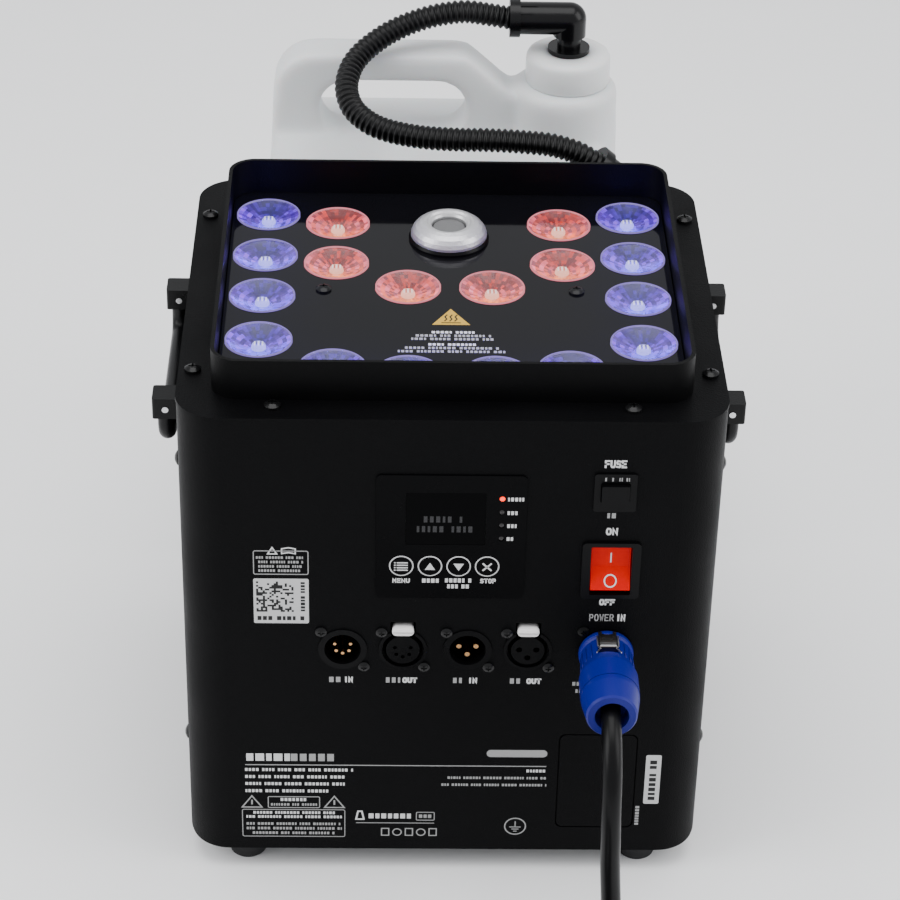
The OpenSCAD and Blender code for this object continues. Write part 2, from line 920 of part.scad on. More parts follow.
module fan_frame() {
    frame_y = back_y - sheet - 16;
    placed() color("#1a1a1b")
        difference() {
            plate_y(fan_x, frame_y, fan_z, fan_size, fan_size, 4, 15);
            rod_y(fan_x, frame_y - 2, fan_z, 28, 20);
        }
    placed() color("#1a1a1b")
        for (a = [0, 90])
            translate([fan_x, frame_y, fan_z])
                rotate([-90, 0, 0])
                    rotate(a + 45)
                        translate([-29, -1.5, 0])
                            cube([58, 3, 2]);
    placed() color("#1a1a1b")
        rod_y(fan_x, frame_y, fan_z, 9, 2);
}

module fan_rotor() {
    rotor_y = back_y - sheet - 13.6;
    blades = 7;
    placed() color("#28282a") {
        rod_y(fan_x, rotor_y, fan_z, 11, 11.6);
        translate([fan_x, rotor_y, fan_z])
            rotate([-90, 0, 0])
                for (k = [0 : blades - 1])
                    rotate(k * 360 / blades)
                        translate([9, 0, 5.8])
                            rotate([38, 0, 0])
                                translate([0, -6.2, -0.7])
                                    cube([17.4, 12.4, 1.4]);
    }
}

// ---- fluid can and its cradle ----

module can_cradle() {
    tray_y0 = can_y - can_d / 2 - 2.9;
    tray_y1 = can_y + can_d / 2 + 2.9;
    tray_w = can_w + 5.8;
    upright_y = back_y + sheet + 0.1;
    upright_w = 172;
    placed() color("#242426")
        difference() {
            union() {
                translate([-tray_w / 2, upright_y, body_z0])
                    cube([tray_w, tray_y1 - upright_y, 2]);
                translate([-upright_w / 2, upright_y, body_z0])
                    cube([upright_w, 2, 84]);
                translate([-tray_w / 2, tray_y0, body_z0])
                    cube([tray_w, 2, 26]);
                translate([-tray_w / 2, tray_y1 - 2, body_z0])
                    cube([tray_w, 2, 40]);
                for (x = [-tray_w / 2, tray_w / 2 - 2])
                    translate([x, tray_y0, body_z0])
                        cube([2, tray_y1 - tray_y0, 40]);
            }
            for (x = [-70, 70], z = [40, 84])
                rod_y(x, upright_y - 2, z, 1.6, 6);
        }
    placed() color("#101011")
        for (x = [-70, 70], z = [40, 84])
            translate([x, upright_y + 2, z])
                rotate([-90, 0, 0])
                    pan_head(3.2, 2);
}

module can_volume(inset) {
    hull() {
        translate([0, can_y, can_z0 + inset])
            slab(can_w - 8 - 2 * inset, can_d - 8 - 2 * inset, 14, 1);
        translate([0, can_y, can_z0 + 5])
            slab(can_w - 2 * inset, can_d - 2 * inset, 20 - inset, 208);
        translate([0, can_y, 234 - inset])
            slab(can_w - 14 - 2 * inset, 52 - 2 * inset, 18 - inset, 1);
    }
}

module can_handle() {
    hull()
        for (p = [[-79, 226, 11], [-66.5, can_top - 22, 22], [5.5, can_top - 12, 12],
                [22, 254, 12], [26, 232, 10]])
            translate([p[0], can_y, p[1]])
                rotate([90, 0, 0])
                    cylinder(r = p[2], h = grip_t, center = true, $fn = 32);
}

module can_shoulder() {
    translate([neck_x - 1.4, can_y, 0])
        rotate_extrude()
            polygon([[0, 226], [28.5, 226], [28.2, 236], [27.5, 246], [27.5, 259], [26.6, 261.4],
                [24.6, 262.4], [0, 262.4]]);
}

module can() {
    placed() color("#e4e6e8")
        difference() {
            union() {
                can_volume(0);
                can_handle();
                can_shoulder();
                translate([neck_x, can_y, 250])
                    cylinder(r = neck_r, h = neck_top - 250);
            }
            can_volume(can_t);
            hull()
                for (x = [-50, -3.5])
                    translate([x, can_y - 20, 250.2])
                        rotate([-90, 0, 0])
                            cylinder(r = 14.7, h = 40, $fn = 32);
            translate([neck_x, can_y, 220])
                cylinder(r = neck_r - 2.2, h = 70);
        }
}

module can_cap() {
    placed() color("#dfe1e3")
        translate([neck_x, can_y, 0])
            rotate_extrude()
                polygon([[6.4, cap_top], [cap_r - 2.6, cap_top], [cap_r - 0.8, cap_top - 0.8],
                    [cap_r, cap_top - 2.6], [cap_r, cap_z0], [neck_r + 0.4, cap_z0],
                    [neck_r + 0.4, neck_top + 0.4], [6.4, neck_top + 0.4]]);
}

// An elbow with its stem along -Z from the bend and its mouth along -X
module elbow_fitting(stem, mouth, stem_r) {
    difference() {
        union() {
            translate([0, 0, -stem])
                cylinder(r = stem_r, h = stem);
            sphere(elbow_r);
            translate([0, 0, -9])
                cylinder(r = elbow_r, h = 9);
            rotate([0, -90, 0])
                cylinder(r = elbow_r, h = mouth - 2);
            translate([-mouth + 5.4, 0, 0])
                rotate([0, -90, 0])
                    cylinder(r = elbow_ring_r, h = 5.4);
        }
        translate([-mouth - 1, 0, 0])
            rotate([0, 90, 0])
                cylinder(r = hose_r + 0.15, h = 15);
        translate([-mouth, 0, 0])
            rotate([0, 90, 0])
                cylinder(r = 3.5, h = mouth);
        translate([0, 0, -stem - 1])
            cylinder(r = 3.5, h = stem + 1);
    }
}

module cap_elbow() {
    flange_z = cap_top + 0.35;
    placed() color("#1d1d1f")
        translate([neck_x, can_y, 0]) {
            translate([0, 0, elbow_z])
                elbow_fitting(elbow_z - neck_top + 6, elbow_mouth, 6);
            difference() {
                union() {
                    translate([0, 0, flange_z])
                        cylinder(r = 10.8, h = 2.2);
                    translate([0, 0, neck_top - 6])
                        cylinder(r = 9.4, h = 5.6);
                }
                translate([0, 0, neck_top - 10])
                    cylinder(r = 3.4, h = 30);
            }
        }
    placed() color("#d8dadb")
        translate([neck_x, can_y, can_z0 + 12])
            difference() {
                cylinder(r = 3.4, h = neck_top - 6 - can_z0 - 12 + 4);
                translate([0, 0, -1])
                    cylinder(r = 2.2, h = 300);
            }
}

module rear_elbow() {
    stem = rear_stem[1] - back_y + 6;
    placed() color("#1d1d1f")
        translate(rear_stem)
            rotate([-90, 0, 0])
                rotate([0, 0, rear_tilt])
                    difference() {
                        union() {
                            elbow_fitting(stem, rear_mouth, 5.8);
                            translate([0, 0, -(rear_stem[1] - back_y) + sheet + 0.1])
                                cylinder(r = 10.8, h = 3);
                        }
                        translate([0, 0, -stem - 1])
                            cylinder(r = 3.4, h = stem + 1);
                    }
}

module hose() {
    placed() color("#2e2e30")
        route_tube(hose_route, hose_r, 12);
}

// ---- mains lead ----

module mains_lead() {
    placed() color("#1a1a1b")
        route_tube(lead_route, lead_d / 2, 10);
}

module lead_coil() {
    placed() color("#1a1a1b")
        translate([coil_x, coil_y, 0.1])
            rotate_extrude()
                translate([coil_mean_r, coil_h / 2])
                    rrect(coil_w, coil_h, 8);
}

module lead_tail() {
    placed() color("#1a1a1b")
        route_tube(tail_route, lead_d / 2, 10);
}

module mains_plug() {
    placed() color("#1a1a1b")
        translate([plug_end_x, plug_axis_y, plug_axis_z])
            rotate([0, -90, 0])
                rotate_extrude()
                    polygon([[0, 0.2], [5.6, 0.2], [8.5, 26], [16.5, 36],
                        [19, 40], [19, 62], [18, 64], [0, 64]]);
    placed() color("#c9cacb")
        for (s = [-1, 1])
            translate([plug_end_x - 64 + eps, plug_axis_y + s * 9.5, plug_axis_z])
                rotate([0, -90, 0])
                    cylinder(r = 2.4, h = 19);
}

base_plate();
body_shell();
rear_panel();
top_plate();
rim_frame();
lens_panel();
lenses_blue();
lenses_amber();
led_board();
nozzle_dome();
nozzle_ring();
panel_screws();
top_screws();
case_screws();
feet();
control_overlay();
display_window();
control_board();
status_lamps();
button_menu();
button_up();
button_down();
button_exit();
socket_male_5();
socket_female_5();
socket_male_3();
socket_female_3();
socket_pins();
socket_screws();
push_tab_5();
push_tab_3();
breaker_body();
breaker_button();
rocker_frame();
rocker();
power_inlet();
power_plug();
chuck_nut();
plug_latch();
blank_cover();
hinge_lugs_left();
hinge_lugs_right();
hinge_pins();
handle_left();
handle_right();
heater();
pump();
power_supply();
fan_frame();
fan_rotor();
can_cradle();
can();
can_cap();
cap_elbow();
hose();
rear_elbow();
mains_lead();
lead_coil();
lead_tail();
mains_plug();
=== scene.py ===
import math
import random

import bpy
from mathutils import Matrix, Vector
from mathutils.bvhtree import BVHTree


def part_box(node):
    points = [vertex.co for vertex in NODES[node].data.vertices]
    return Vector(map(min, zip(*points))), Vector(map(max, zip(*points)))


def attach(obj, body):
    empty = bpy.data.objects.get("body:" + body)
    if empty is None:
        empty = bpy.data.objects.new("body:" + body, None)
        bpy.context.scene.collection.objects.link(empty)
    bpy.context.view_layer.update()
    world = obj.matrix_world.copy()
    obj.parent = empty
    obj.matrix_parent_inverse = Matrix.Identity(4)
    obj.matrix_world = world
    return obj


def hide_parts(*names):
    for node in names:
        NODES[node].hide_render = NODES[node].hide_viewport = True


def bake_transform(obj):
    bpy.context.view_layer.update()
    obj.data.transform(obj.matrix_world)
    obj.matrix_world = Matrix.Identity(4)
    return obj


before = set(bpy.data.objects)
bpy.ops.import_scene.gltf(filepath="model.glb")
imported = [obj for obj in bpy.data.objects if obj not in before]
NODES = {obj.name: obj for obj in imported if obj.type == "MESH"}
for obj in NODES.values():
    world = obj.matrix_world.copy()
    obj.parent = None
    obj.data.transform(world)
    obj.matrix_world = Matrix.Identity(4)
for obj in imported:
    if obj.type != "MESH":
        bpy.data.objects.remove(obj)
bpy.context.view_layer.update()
scene = bpy.context.scene

# Millimetres are measured from the middle of the sheet-metal housing, on the floor.
shell_lo, shell_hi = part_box("body_shell")
MID_X = (shell_lo[0] + shell_hi[0]) / 2
MID_Y = (shell_lo[1] + shell_hi[1]) / 2
FRONT = (shell_lo[1] - MID_Y) * 1000


def at(x, y, z):
    return Vector((MID_X + x / 1000, MID_Y + y / 1000, z / 1000))


def box_mm(node):
    lo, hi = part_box(node)
    shift = (MID_X, MID_Y, 0)
    return [(lo[i] - shift[i]) * 1000 for i in range(3)], [(hi[i] - shift[i]) * 1000 for i in range(3)]


# ---- camera ----

# Solved from points on the housing: focal length on a 36 mm sensor, the eye's place and the view's axes.
LENS_MM = 115.234
EYE = (-28.8, -1147.6, 917.5)
camera = bpy.data.objects.new("camera", bpy.data.cameras.new("camera"))
scene.collection.objects.link(camera)
camera.data.sensor_width = 36.0
camera.data.lens = LENS_MM
right = Vector((0.9997138, -0.01374038, 0.01958374))
down = Vector((0.00887053, -0.54734971, -0.83685698))
ahead = Vector((0.02221789, 0.83679119, -0.54707118))
turn = Matrix((right, -down, -ahead)).transposed()
camera.matrix_world = Matrix.Translation(at(*EYE)) @ turn.to_4x4()
camera.data.clip_end = 50
scene.camera = camera


# ---- meshes ----

class Shape:
    """Collects vertices in millimetres and faces with a material number and a colour each."""

    def __init__(self):
        self.verts = []
        self.faces = []
        self.mats = []
        self.tints = []

    def add(self, verts, faces, mat=0, tint=None):
        start = len(self.verts)
        self.verts += [tuple(v) for v in verts]
        self.faces += [[start + i for i in f] for f in faces]
        self.mats += [mat] * len(faces)
        self.tints += tint if isinstance(tint, list) else [tint] * len(faces)

    def lathe(self, profile, place, segments=48, mat=0, tint=None, ring=False):
        """profile is [(radius, height)] from first to last; place turns (x, y, h) into millimetres."""
        if ring:
            profile = profile + profile[:1]
        verts, faces = [], []
        for r, h in profile:
            verts += [place(r * math.cos(a), r * math.sin(a), h)
                      for a in (2 * math.pi * k / segments for k in range(segments))]
        for i in range(len(profile) - 1):
            for k in range(segments):
                n = (k + 1) % segments
                faces.append([i * segments + k, i * segments + n,
                              (i + 1) * segments + n, (i + 1) * segments + k])
        if ring:
            first = (len(profile) - 1) * segments
            verts = verts[:first]
            faces = [[k - first if k >= first else k for k in f] for f in faces]
        for i, flip in ((0, True), (len(profile) - 1, False)):
            if not ring and profile[i][0] > 1e-6:
                cap = [i * segments + k for k in range(segments)]
                faces.append(cap[::-1] if flip else cap)
        self.add(verts, faces, mat, tint)

    def prism(self, outline, low, high, place, mat=0):
        """A closed plate from a 2D outline, drawn anticlockwise."""
        n = len(outline)
        verts = [place(x, y, low) for x, y in outline] + [place(x, y, high) for x, y in outline]
        faces = [list(range(n))[::-1], list(range(n, 2 * n))]
        faces += [[i, (i + 1) % n, n + (i + 1) % n, n + i] for i in range(n)]
        self.add(verts, faces, mat)

    def band(self, outer, inner, low, high, place, mat=0):
        """A closed plate between two outlines with the same number of points."""
        n = len(outer)
        verts = [place(x, y, h) for h in (low, high) for ring in (outer, inner) for x, y in ring]
        faces = []
        for i in range(n):
            j = (i + 1) % n
            faces += [[i, n + i, n + j, j], [2 * n + i, 2 * n + j, 3 * n + j, 3 * n + i],
                      [i, j, 2 * n + j, 2 * n + i], [n + i, 3 * n + i, 3 * n + j, n + j]]
        self.add(verts, faces, mat)

    def loft(self, rings, place, mat=0):
        """A closed solid through outlines of the same number of points, each with its height."""
        n = len(rings[0][0])
        verts = [place(x, y, h) for outline, h in rings for x, y in outline]
        last = (len(rings) - 1) * n
        faces = [list(range(n))[::-1], [last + k for k in range(n)]]
        faces += [[i * n + k, i * n + (k + 1) % n, (i + 1) * n + (k + 1) % n, (i + 1) * n + k]
                  for i in range(len(rings) - 1) for k in range(n)]
        self.add(verts, faces, mat)

    def stroke(self, points, half, low, high, place, mat=0, closed=False):
        """A drawn line of constant width along a polyline, with mitred corners."""
        pts = [Vector(p) for p in points]
        n = len(pts)
        left, right_side = [], []
        for i, p in enumerate(pts):
            a = pts[(i - 1) % n] if closed or i else None
            b = pts[(i + 1) % n] if closed or i < n - 1 else None
            d1 = (p - a).normalized() if a is not None else (b - p).normalized()
            d2 = (b - p).normalized() if b is not None else d1
            if a is None:
                p = p - d1 * half
            if b is None:
                p = p + d2 * half
            n1, n2 = Vector((-d1.y, d1.x)), Vector((-d2.y, d2.x))
            m = (n1 + n2).normalized()
            m = m * (half / max(0.45, m.dot(n1)))
            left.append(tuple(p + m))
            right_side.append(tuple(p - m))
        if closed:
            self.band(right_side, left, low, high, place, mat)
        else:
            self.prism(right_side + left[::-1], low, high, place, mat)

    def build(self, name, mats, body="housing", smooth=True):
        mesh = bpy.data.meshes.new(name)
        mesh.from_pydata([at(*v) for v in self.verts], [], self.faces)
        for m in mats:
            mesh.materials.append(m)
        for poly, m in zip(mesh.polygons, self.mats):
            poly.material_index = m
            poly.use_smooth = smooth
        if any(t is not None for t in self.tints):
            layer = mesh.color_attributes.new("tint", "FLOAT_COLOR", "CORNER")
            for poly, t in zip(mesh.polygons, self.tints):
                for i in poly.loop_indices:
                    layer.data[i].color = (*(t or (1, 1, 1)), 1)
        mesh.update()
        obj = bpy.data.objects.new(name, mesh)
        scene.collection.objects.link(obj)
        if body:
            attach(obj, body)
        return obj


def circle(x, z, r, n=32):
    return [(x + r * math.cos(2 * math.pi * k / n), z + r * math.sin(2 * math.pi * k / n)) for k in range(n)]


def rounded(x0, x1, z0, z1, r, n=5):
    points = []
    for cx, cz, start in ((x1 - r, z1 - r, 0), (x0 + r, z1 - r, 90), (x0 + r, z0 + r, 180), (x1 - r, z0 + r, 270)):
        points += [(cx + r * math.cos(math.radians(start + 90 * k / n)),
                    cz + r * math.sin(math.radians(start + 90 * k / n))) for k in range(n + 1)]
    return points


def rect(x0, x1, z0, z1):
    return [(x0, z0), (x1, z0), (x1, z1), (x0, z1)]


def upright(x, y, z):
    return lambda u, v, h: (x + u, y + v, z + h)


def outward(x, y, z):
    """Local plane XZ, height out of the control face, towards -Y."""
    return lambda u, v, h: (x + u, y - h, z + v)


def smooth_path(points, step):
    """Evenly spaced points along a Catmull-Rom curve through the given ones."""
    p = [Vector(points[0]) * 2 - Vector(points[1])] + [Vector(q) for q in points]
    p.append(p[-1] * 2 - p[-2])
    dense = []
    for i in range(1, len(p) - 2):
        for k in range(16):
            t = k / 16
            a, b, c, d = p[i - 1], p[i], p[i + 1], p[i + 2]
            dense.append(0.5 * ((2 * b) + (c - a) * t + (2 * a - 5 * b + 4 * c - d) * t * t
                                + (3 * b - a - 3 * c + d) * t * t * t))
    dense.append(p[-2])
    out, left = [dense[0]], step
    for a, b in zip(dense, dense[1:]):
        length = (b - a).length
        while left < length:
            a = a + (b - a) * (left / length)
            length = (b - a).length
            out.append(a.copy())
            left = step
        left -= length
    if (out[-1] - dense[-1]).length < step * 0.5:
        out.pop()
    out.append(dense[-1])
    return out


def tube(shape, path, radius, segments, mat=0):
    """A swept tube with its ends closed; radius is a function of the distance along it."""
    tangent = (path[1] - path[0]).normalized()
    side = tangent.orthogonal().normalized()
    verts, along = [], 0.0
    for i, point in enumerate(path):
        nxt = path[min(i + 1, len(path) - 1)]
        prv = path[max(i - 1, 0)]
        direction = (nxt - prv).normalized()
        side = (side - direction * side.dot(direction)).normalized()
        other = direction.cross(side)
        if i:
            along += (point - prv).length
        r = radius(along)
        verts += [point + (side * math.cos(a) + other * math.sin(a)) * r
                  for a in (2 * math.pi * k / segments for k in range(segments))]
    n, last = segments, (len(path) - 1) * segments
    faces = [[i * n + k, i * n + (k + 1) % n, (i + 1) * n + (k + 1) % n, (i + 1) * n + k]
             for i in range(len(path) - 1) for k in range(n)]
    faces += [list(range(n))[::-1], [last + k for k in range(n)]]
    shape.add(verts, faces, mat)


# ---- materials ----

def material(name, color, rough, metal=0.0, specular=0.5, grain=1400.0, bump=0.1, tone=0.12, spread=0.06,
             glow=None, strength=0.0, stretch=(1, 1, 1), wear=0.0, tint=False, extra=()):
    """A procedural surface: fine grain in the bump, slow change in tone, and patchy roughness.

    With tint, each face shines in its own colour from the mesh's tint attribute."""
    mat = bpy.data.materials.new(name)
    mat.use_nodes = True
    nodes, links = mat.node_tree.nodes, mat.node_tree.links
    shader = nodes["Principled BSDF"]
    shader.inputs["Metallic"].default_value = metal
    shader.inputs["Specular IOR Level"].default_value = specular
    for key, value in extra:
        shader.inputs[key].default_value = value
    coords = nodes.new("ShaderNodeTexCoord")
    mapping = nodes.new("ShaderNodeMapping")
    mapping.inputs["Scale"].default_value = stretch
    links.new(coords.outputs["Object"], mapping.inputs["Vector"])

    def noise(scale, detail, source=mapping):
        node = nodes.new("ShaderNodeTexNoise")
        node.inputs["Scale"].default_value = scale
        node.inputs["Detail"].default_value = detail
        links.new(source.outputs[0 if source is mapping else "Object"], node.inputs["Vector"])
        return node.outputs["Fac"]

    broad = noise(24.0, 5.0, coords)
    fine = noise(grain, 2.0)
    ramp = nodes.new("ShaderNodeMapRange")
    ramp.inputs["From Min"].default_value = 0.3
    ramp.inputs["From Max"].default_value = 0.7
    ramp.inputs["To Min"].default_value = max(rough - spread, 0.0)
    ramp.inputs["To Max"].default_value = rough + spread
    links.new(broad, ramp.inputs["Value"])
    links.new(ramp.outputs["Result"], shader.inputs["Roughness"])
    mix = nodes.new("ShaderNodeMix")
    mix.data_type = "RGBA"
    low = [max(c * (1 - tone), 0) for c in color]
    high = [min(c * (1 + tone) + wear, 1) for c in color]
    mix.inputs["A"].default_value = (*low, 1)
    mix.inputs["B"].default_value = (*high, 1)
    blend = nodes.new("ShaderNodeMath")
    blend.operation = "MULTIPLY_ADD"
    blend.inputs[1].default_value = 0.5
    links.new(fine, blend.inputs[0])
    half = nodes.new("ShaderNodeMath")
    half.operation = "MULTIPLY"
    half.inputs[1].default_value = 0.5
    links.new(broad, half.inputs[0])
    links.new(half.outputs[0], blend.inputs[2])
    links.new(blend.outputs[0], mix.inputs["Factor"])
    if tint:
        attribute = nodes.new("ShaderNodeAttribute")
        attribute.attribute_name = "tint"
        times = nodes.new("ShaderNodeMix")
        times.data_type = "RGBA"
        times.blend_type = "MULTIPLY"
        times.inputs["Factor"].default_value = 1.0
        links.new(attribute.outputs["Color"], times.inputs["A"])
        links.new(mix.outputs["Result"], times.inputs["B"])
        shader.inputs["Base Color"].default_value = (0.02, 0.02, 0.025, 1)
        links.new(times.outputs["Result"], shader.inputs["Emission Color"])
        shader.inputs["Emission Strength"].default_value = strength
    else:
        links.new(mix.outputs["Result"], shader.inputs["Base Color"])
    if glow:
        shader.inputs["Emission Color"].default_value = (*glow, 1)
        shader.inputs["Emission Strength"].default_value = strength
    relief = nodes.new("ShaderNodeBump")
    relief.inputs["Strength"].default_value = bump
    relief.inputs["Distance"].default_value = 0.0004
    links.new(fine, relief.inputs["Height"])
    links.new(relief.outputs["Normal"], shader.inputs["Normal"])
    return mat


M = {
    "powder": material("powder_coat", (0.0016, 0.0016, 0.0019), 0.46, specular=0.055, grain=1500, bump=0.55,
                       tone=0.3),
    "rim": material("rim_coat", (0.0018, 0.0018, 0.002), 0.42, specular=0.07, grain=1500, bump=0.4, tone=0.3),
    "panel": material("panel_gloss", (0.003, 0.003, 0.004), 0.06, specular=0.13, grain=300, bump=0.01, tone=0.2,
                      spread=0.02),
    "film": material("overlay_film", (0.0012, 0.0012, 0.0015), 0.28, specular=0.045, grain=2400, bump=0.12,
                     tone=0.2),
    "window": material("display_window", (0.0005, 0.0005, 0.0007), 0.08, specular=0.03, grain=200, bump=0.01,
                       spread=0.02),
    "plastic": material("black_plastic", (0.002, 0.002, 0.0023), 0.3, specular=0.1, grain=1800, bump=0.12,
                        tone=0.2),
    "steel": material("black_steel", (0.002, 0.002, 0.0023), 0.24, specular=0.22, grain=900, bump=0.15, wear=0.004),
    "rubber": material("foot_rubber", (0.014, 0.014, 0.015), 0.75, specular=0.3, grain=900, bump=0.3),
    "satin": material("bail_coat", (0.003, 0.003, 0.0034), 0.32, specular=0.16, grain=1300, bump=0.3, tone=0.25),
    "bright": material("bright_steel", (0.62, 0.62, 0.63), 0.28, metal=1.0, grain=700, bump=0.1, stretch=(1, 1, 6)),
    "latch": material("latch_steel", (0.2, 0.18, 0.17), 0.3, metal=1.0, grain=500, bump=0.1,
                      stretch=(8, 1, 1), tone=0.4),
    "nozzle": material("nozzle_metal", (0.5, 0.5, 0.51), 0.36, metal=0.75, grain=650, bump=0.35, tone=0.14,
                       spread=0.1, wear=0.1),
    "disc": material("nozzle_disc", (0.15, 0.15, 0.153), 0.5, metal=0.5, grain=900, bump=0.2),
    "gold": material("gold_contact", (0.8, 0.45, 0.2), 0.25, metal=1.0, grain=900, bump=0.05),
    "tab": material("tab_white", (0.82, 0.8, 0.79), 0.4, specular=0.4, grain=1500, bump=0.08, tone=0.04),
    "rocker": material("rocker_red", (0.5, 0.001, 0.0), 0.2, specular=0.07, grain=500, bump=0.02, tone=0.2,
                       glow=(1.0, 0.0, 0.0), strength=0.08),
    "blue": material("plug_blue", (0.006, 0.008, 0.17), 0.34, specular=0.2, grain=1500, bump=0.14, tone=0.12),
    "board": material("board_green", (0.02, 0.09, 0.04), 0.4, grain=600, bump=0.2),
    "dark": material("pump_dark", (0.03, 0.03, 0.032), 0.45, grain=900, bump=0.15),
    "case": material("supply_case", (0.55, 0.55, 0.56), 0.35, metal=0.9, grain=700, bump=0.1),
    "can": material("can_white", (0.62, 0.635, 0.645), 0.4, specular=0.35, grain=700, bump=0.06, tone=0.03,
                    extra=(("Subsurface Weight", 0.15), ("Subsurface Scale", 0.01))),
    "cap": material("cap_white", (0.66, 0.67, 0.675), 0.36, specular=0.35, grain=900, bump=0.05, tone=0.03,
                    extra=(("Subsurface Weight", 0.12), ("Subsurface Scale", 0.008))),
    "hose": material("hose_black", (0.002, 0.002, 0.0023), 0.32, specular=0.2, grain=1200, bump=0.08, tone=0.2),
    "elbow": material("elbow_nylon", (0.002, 0.002, 0.0023), 0.26, specular=0.22, grain=1500, bump=0.08, tone=0.2),
    "cord": material("cord_sheath", (0.002, 0.002, 0.0023), 0.3, specular=0.14, grain=1200, bump=0.1, tone=0.2),
    "white": material("print_white", (0.62, 0.62, 0.62), 0.55, specular=0.2, grain=2000, bump=0.05, tone=0.08),
    "grey": material("print_grey", (0.3, 0.3, 0.3), 0.55, specular=0.2, grain=2000, bump=0.05, tone=0.15),
    "faint": material("print_faint", (0.03, 0.03, 0.032), 0.5, specular=0.2, grain=2000, bump=0.05, tone=0.15),
    "label": material("label_paper", (0.5, 0.5, 0.5), 0.6, specular=0.2, grain=2000, bump=0.05, tone=0.06),
    "ink": material("print_ink", (0.012, 0.012, 0.012), 0.6, specular=0.2, grain=2000, bump=0.05, tone=0.15),
    "yellow": material("print_yellow", (0.5, 0.31, 0.035), 0.45, specular=0.3, grain=1500, bump=0.05, tone=0.1),
    "lamp_on": material("lamp_red_lit", (0.9, 0.03, 0.01), 0.2, grain=400, bump=0.01,
                        glow=(1.0, 0.05, 0.015), strength=2.2),
    "lamp_off": material("lamp_dark", (0.012, 0.01, 0.01), 0.25, grain=400, bump=0.01),
    "lit": material("lens_lit", (0.9, 0.9, 0.9), 0.25, specular=0.3, grain=900, bump=0.1, tone=0.12,
                    tint=True, strength=0.95),
    "cover": material("lens_cover", (0.97, 0.97, 1.0), 0.02, specular=0.4, grain=200, bump=0.01, tone=0.01,
                      spread=0.01,
                      extra=(("Transmission Weight", 1.0), ("IOR", 1.2))),
}

DRESS = {
    "powder": ["base_plate", "body_shell", "rear_panel", "top_plate", "blank_cover", "can_cradle"],
    "rim": ["rim_frame"],
    "panel": ["lens_panel"],
    "board": ["led_board", "control_board"],
    "nozzle": ["nozzle_dome"],
    "plastic": ["nozzle_ring", "socket_male_5", "socket_female_5", "socket_male_3", "socket_female_3",
                "breaker_body", "breaker_button", "rocker_frame", "power_inlet", "fan_frame", "fan_rotor"],
    "steel": ["panel_screws", "top_screws", "case_screws", "socket_screws"],
    "rubber": ["feet"],
    "film": ["control_overlay", "button_menu", "button_up", "button_down", "button_exit"],
    "window": ["display_window"],
    "gold": ["socket_pins"],
    "tab": ["push_tab_5", "push_tab_3"],
    "rocker": ["rocker"],
    "blue": ["power_plug", "chuck_nut"],
    "latch": ["plug_latch"],
    "satin": ["hinge_lugs_left", "hinge_lugs_right", "handle_left", "handle_right"],
    "bright": ["hinge_pins"],
    "disc": ["heater"],
    "dark": ["pump"],
    "case": ["power_supply"],
    "cap": ["can_cap"],
    "elbow": ["cap_elbow", "rear_elbow"],
    "can": ["can"],
    "cord": ["mains_lead", "lead_coil", "lead_tail", "mains_plug"],
    "hose": ["hose"],
    "lamp_off": ["status_lamps"],
    "lit": ["lenses_blue", "lenses_amber"],
}
for key, names in DRESS.items():
    for name in names:
        mesh = NODES[name].data
        mesh.materials.clear()
        mesh.materials.append(M[key])

# ---- mains lead ----

LEAD_R = 4.5
lead_points = [(71, -142, 130), (71, -151, 129.5), (71, -162, 126), (71, -171, 119), (71, -177.5, 109),
               (71, -181, 97), (71.5, -182, 83), (72, -182, 68), (73, -182, 52), (74, -183, 37), (75, -186.5, 24),
               (75.5, -194, 13), (75.7, -203, 6.6), (75.9, -214, 4.8), (76, -228, 4.6), (76, -244, 4.6)]
COIL = (22.0, -266.0)
turns = [(54.1, 4.65), (45, 4.65), (35.9, 4.65), (35.9, 13.8), (45, 13.8), (54.1, 13.8)]
STEPS = 24
for number, (r, z) in enumerate(turns):
    nr, nz = turns[min(number + 1, len(turns) - 1)]
    count = STEPS if number < len(turns) - 1 else STEPS // 4 + 1
    for k in range(count):
        w = max(0.0, (k - STEPS + 5) / 5) if number < len(turns) - 1 else 0.0
        w = w * w * (3 - 2 * w)
        a = -2 * math.pi * k / STEPS
        rr, zz = r + (nr - r) * w, z + (nz - z) * w
        lead_points.append((COIL[0] + rr * math.cos(a), COIL[1] + rr * math.sin(a), zz))
lead_points += [(10, -319.4, 14), (-2, -317.6, 14.4), (-14, -316.5, 15), (-27, -316, 16.8), (-40, -316, 18.6),
                (-51, -316, 19.2), (-54, -316, 19.2)]
lead_path = smooth_path(lead_points, 2.0)
shape = Shape()
tube(shape, lead_path, lambda s: LEAD_R, 20)
lead = shape.build("mains_lead_sheath", [M["cord"]])
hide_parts("mains_lead", "lead_coil", "lead_tail")

# ---- hose ----

hose_points = [(45, 206, 297), (33, 206, 297), (23, 206, 298.5), (11, 205, 300.5), (1, 204.5, 299.8),
               (-9, 203, 298.2), (-19, 201, 295.4), (-29, 197, 292), (-37, 192, 288.4), (-43, 187, 285),
               (-47.5, 181, 281.2), (-50, 173, 276.8), (-50, 166, 273), (-47.5, 159, 269),
               (-43, 153, 266.5), (-36, 147.5, 264.3), (-27, 143, 263.2), (-16, 138.5, 263.2),
               (-5, 135, 263.8), (7, 132, 264.8), (19, 130, 265.8), (31, 128.8, 266), (42, 128.4, 265.4),
               (51, 128.4, 264.4), (60, 128.4, 262), (67, 128.4, 259), (74, 128.4, 254.2),
               (81, 128.4, 248.3)]
RIB = 3.0
hose_path = smooth_path(hose_points, RIB / 6)


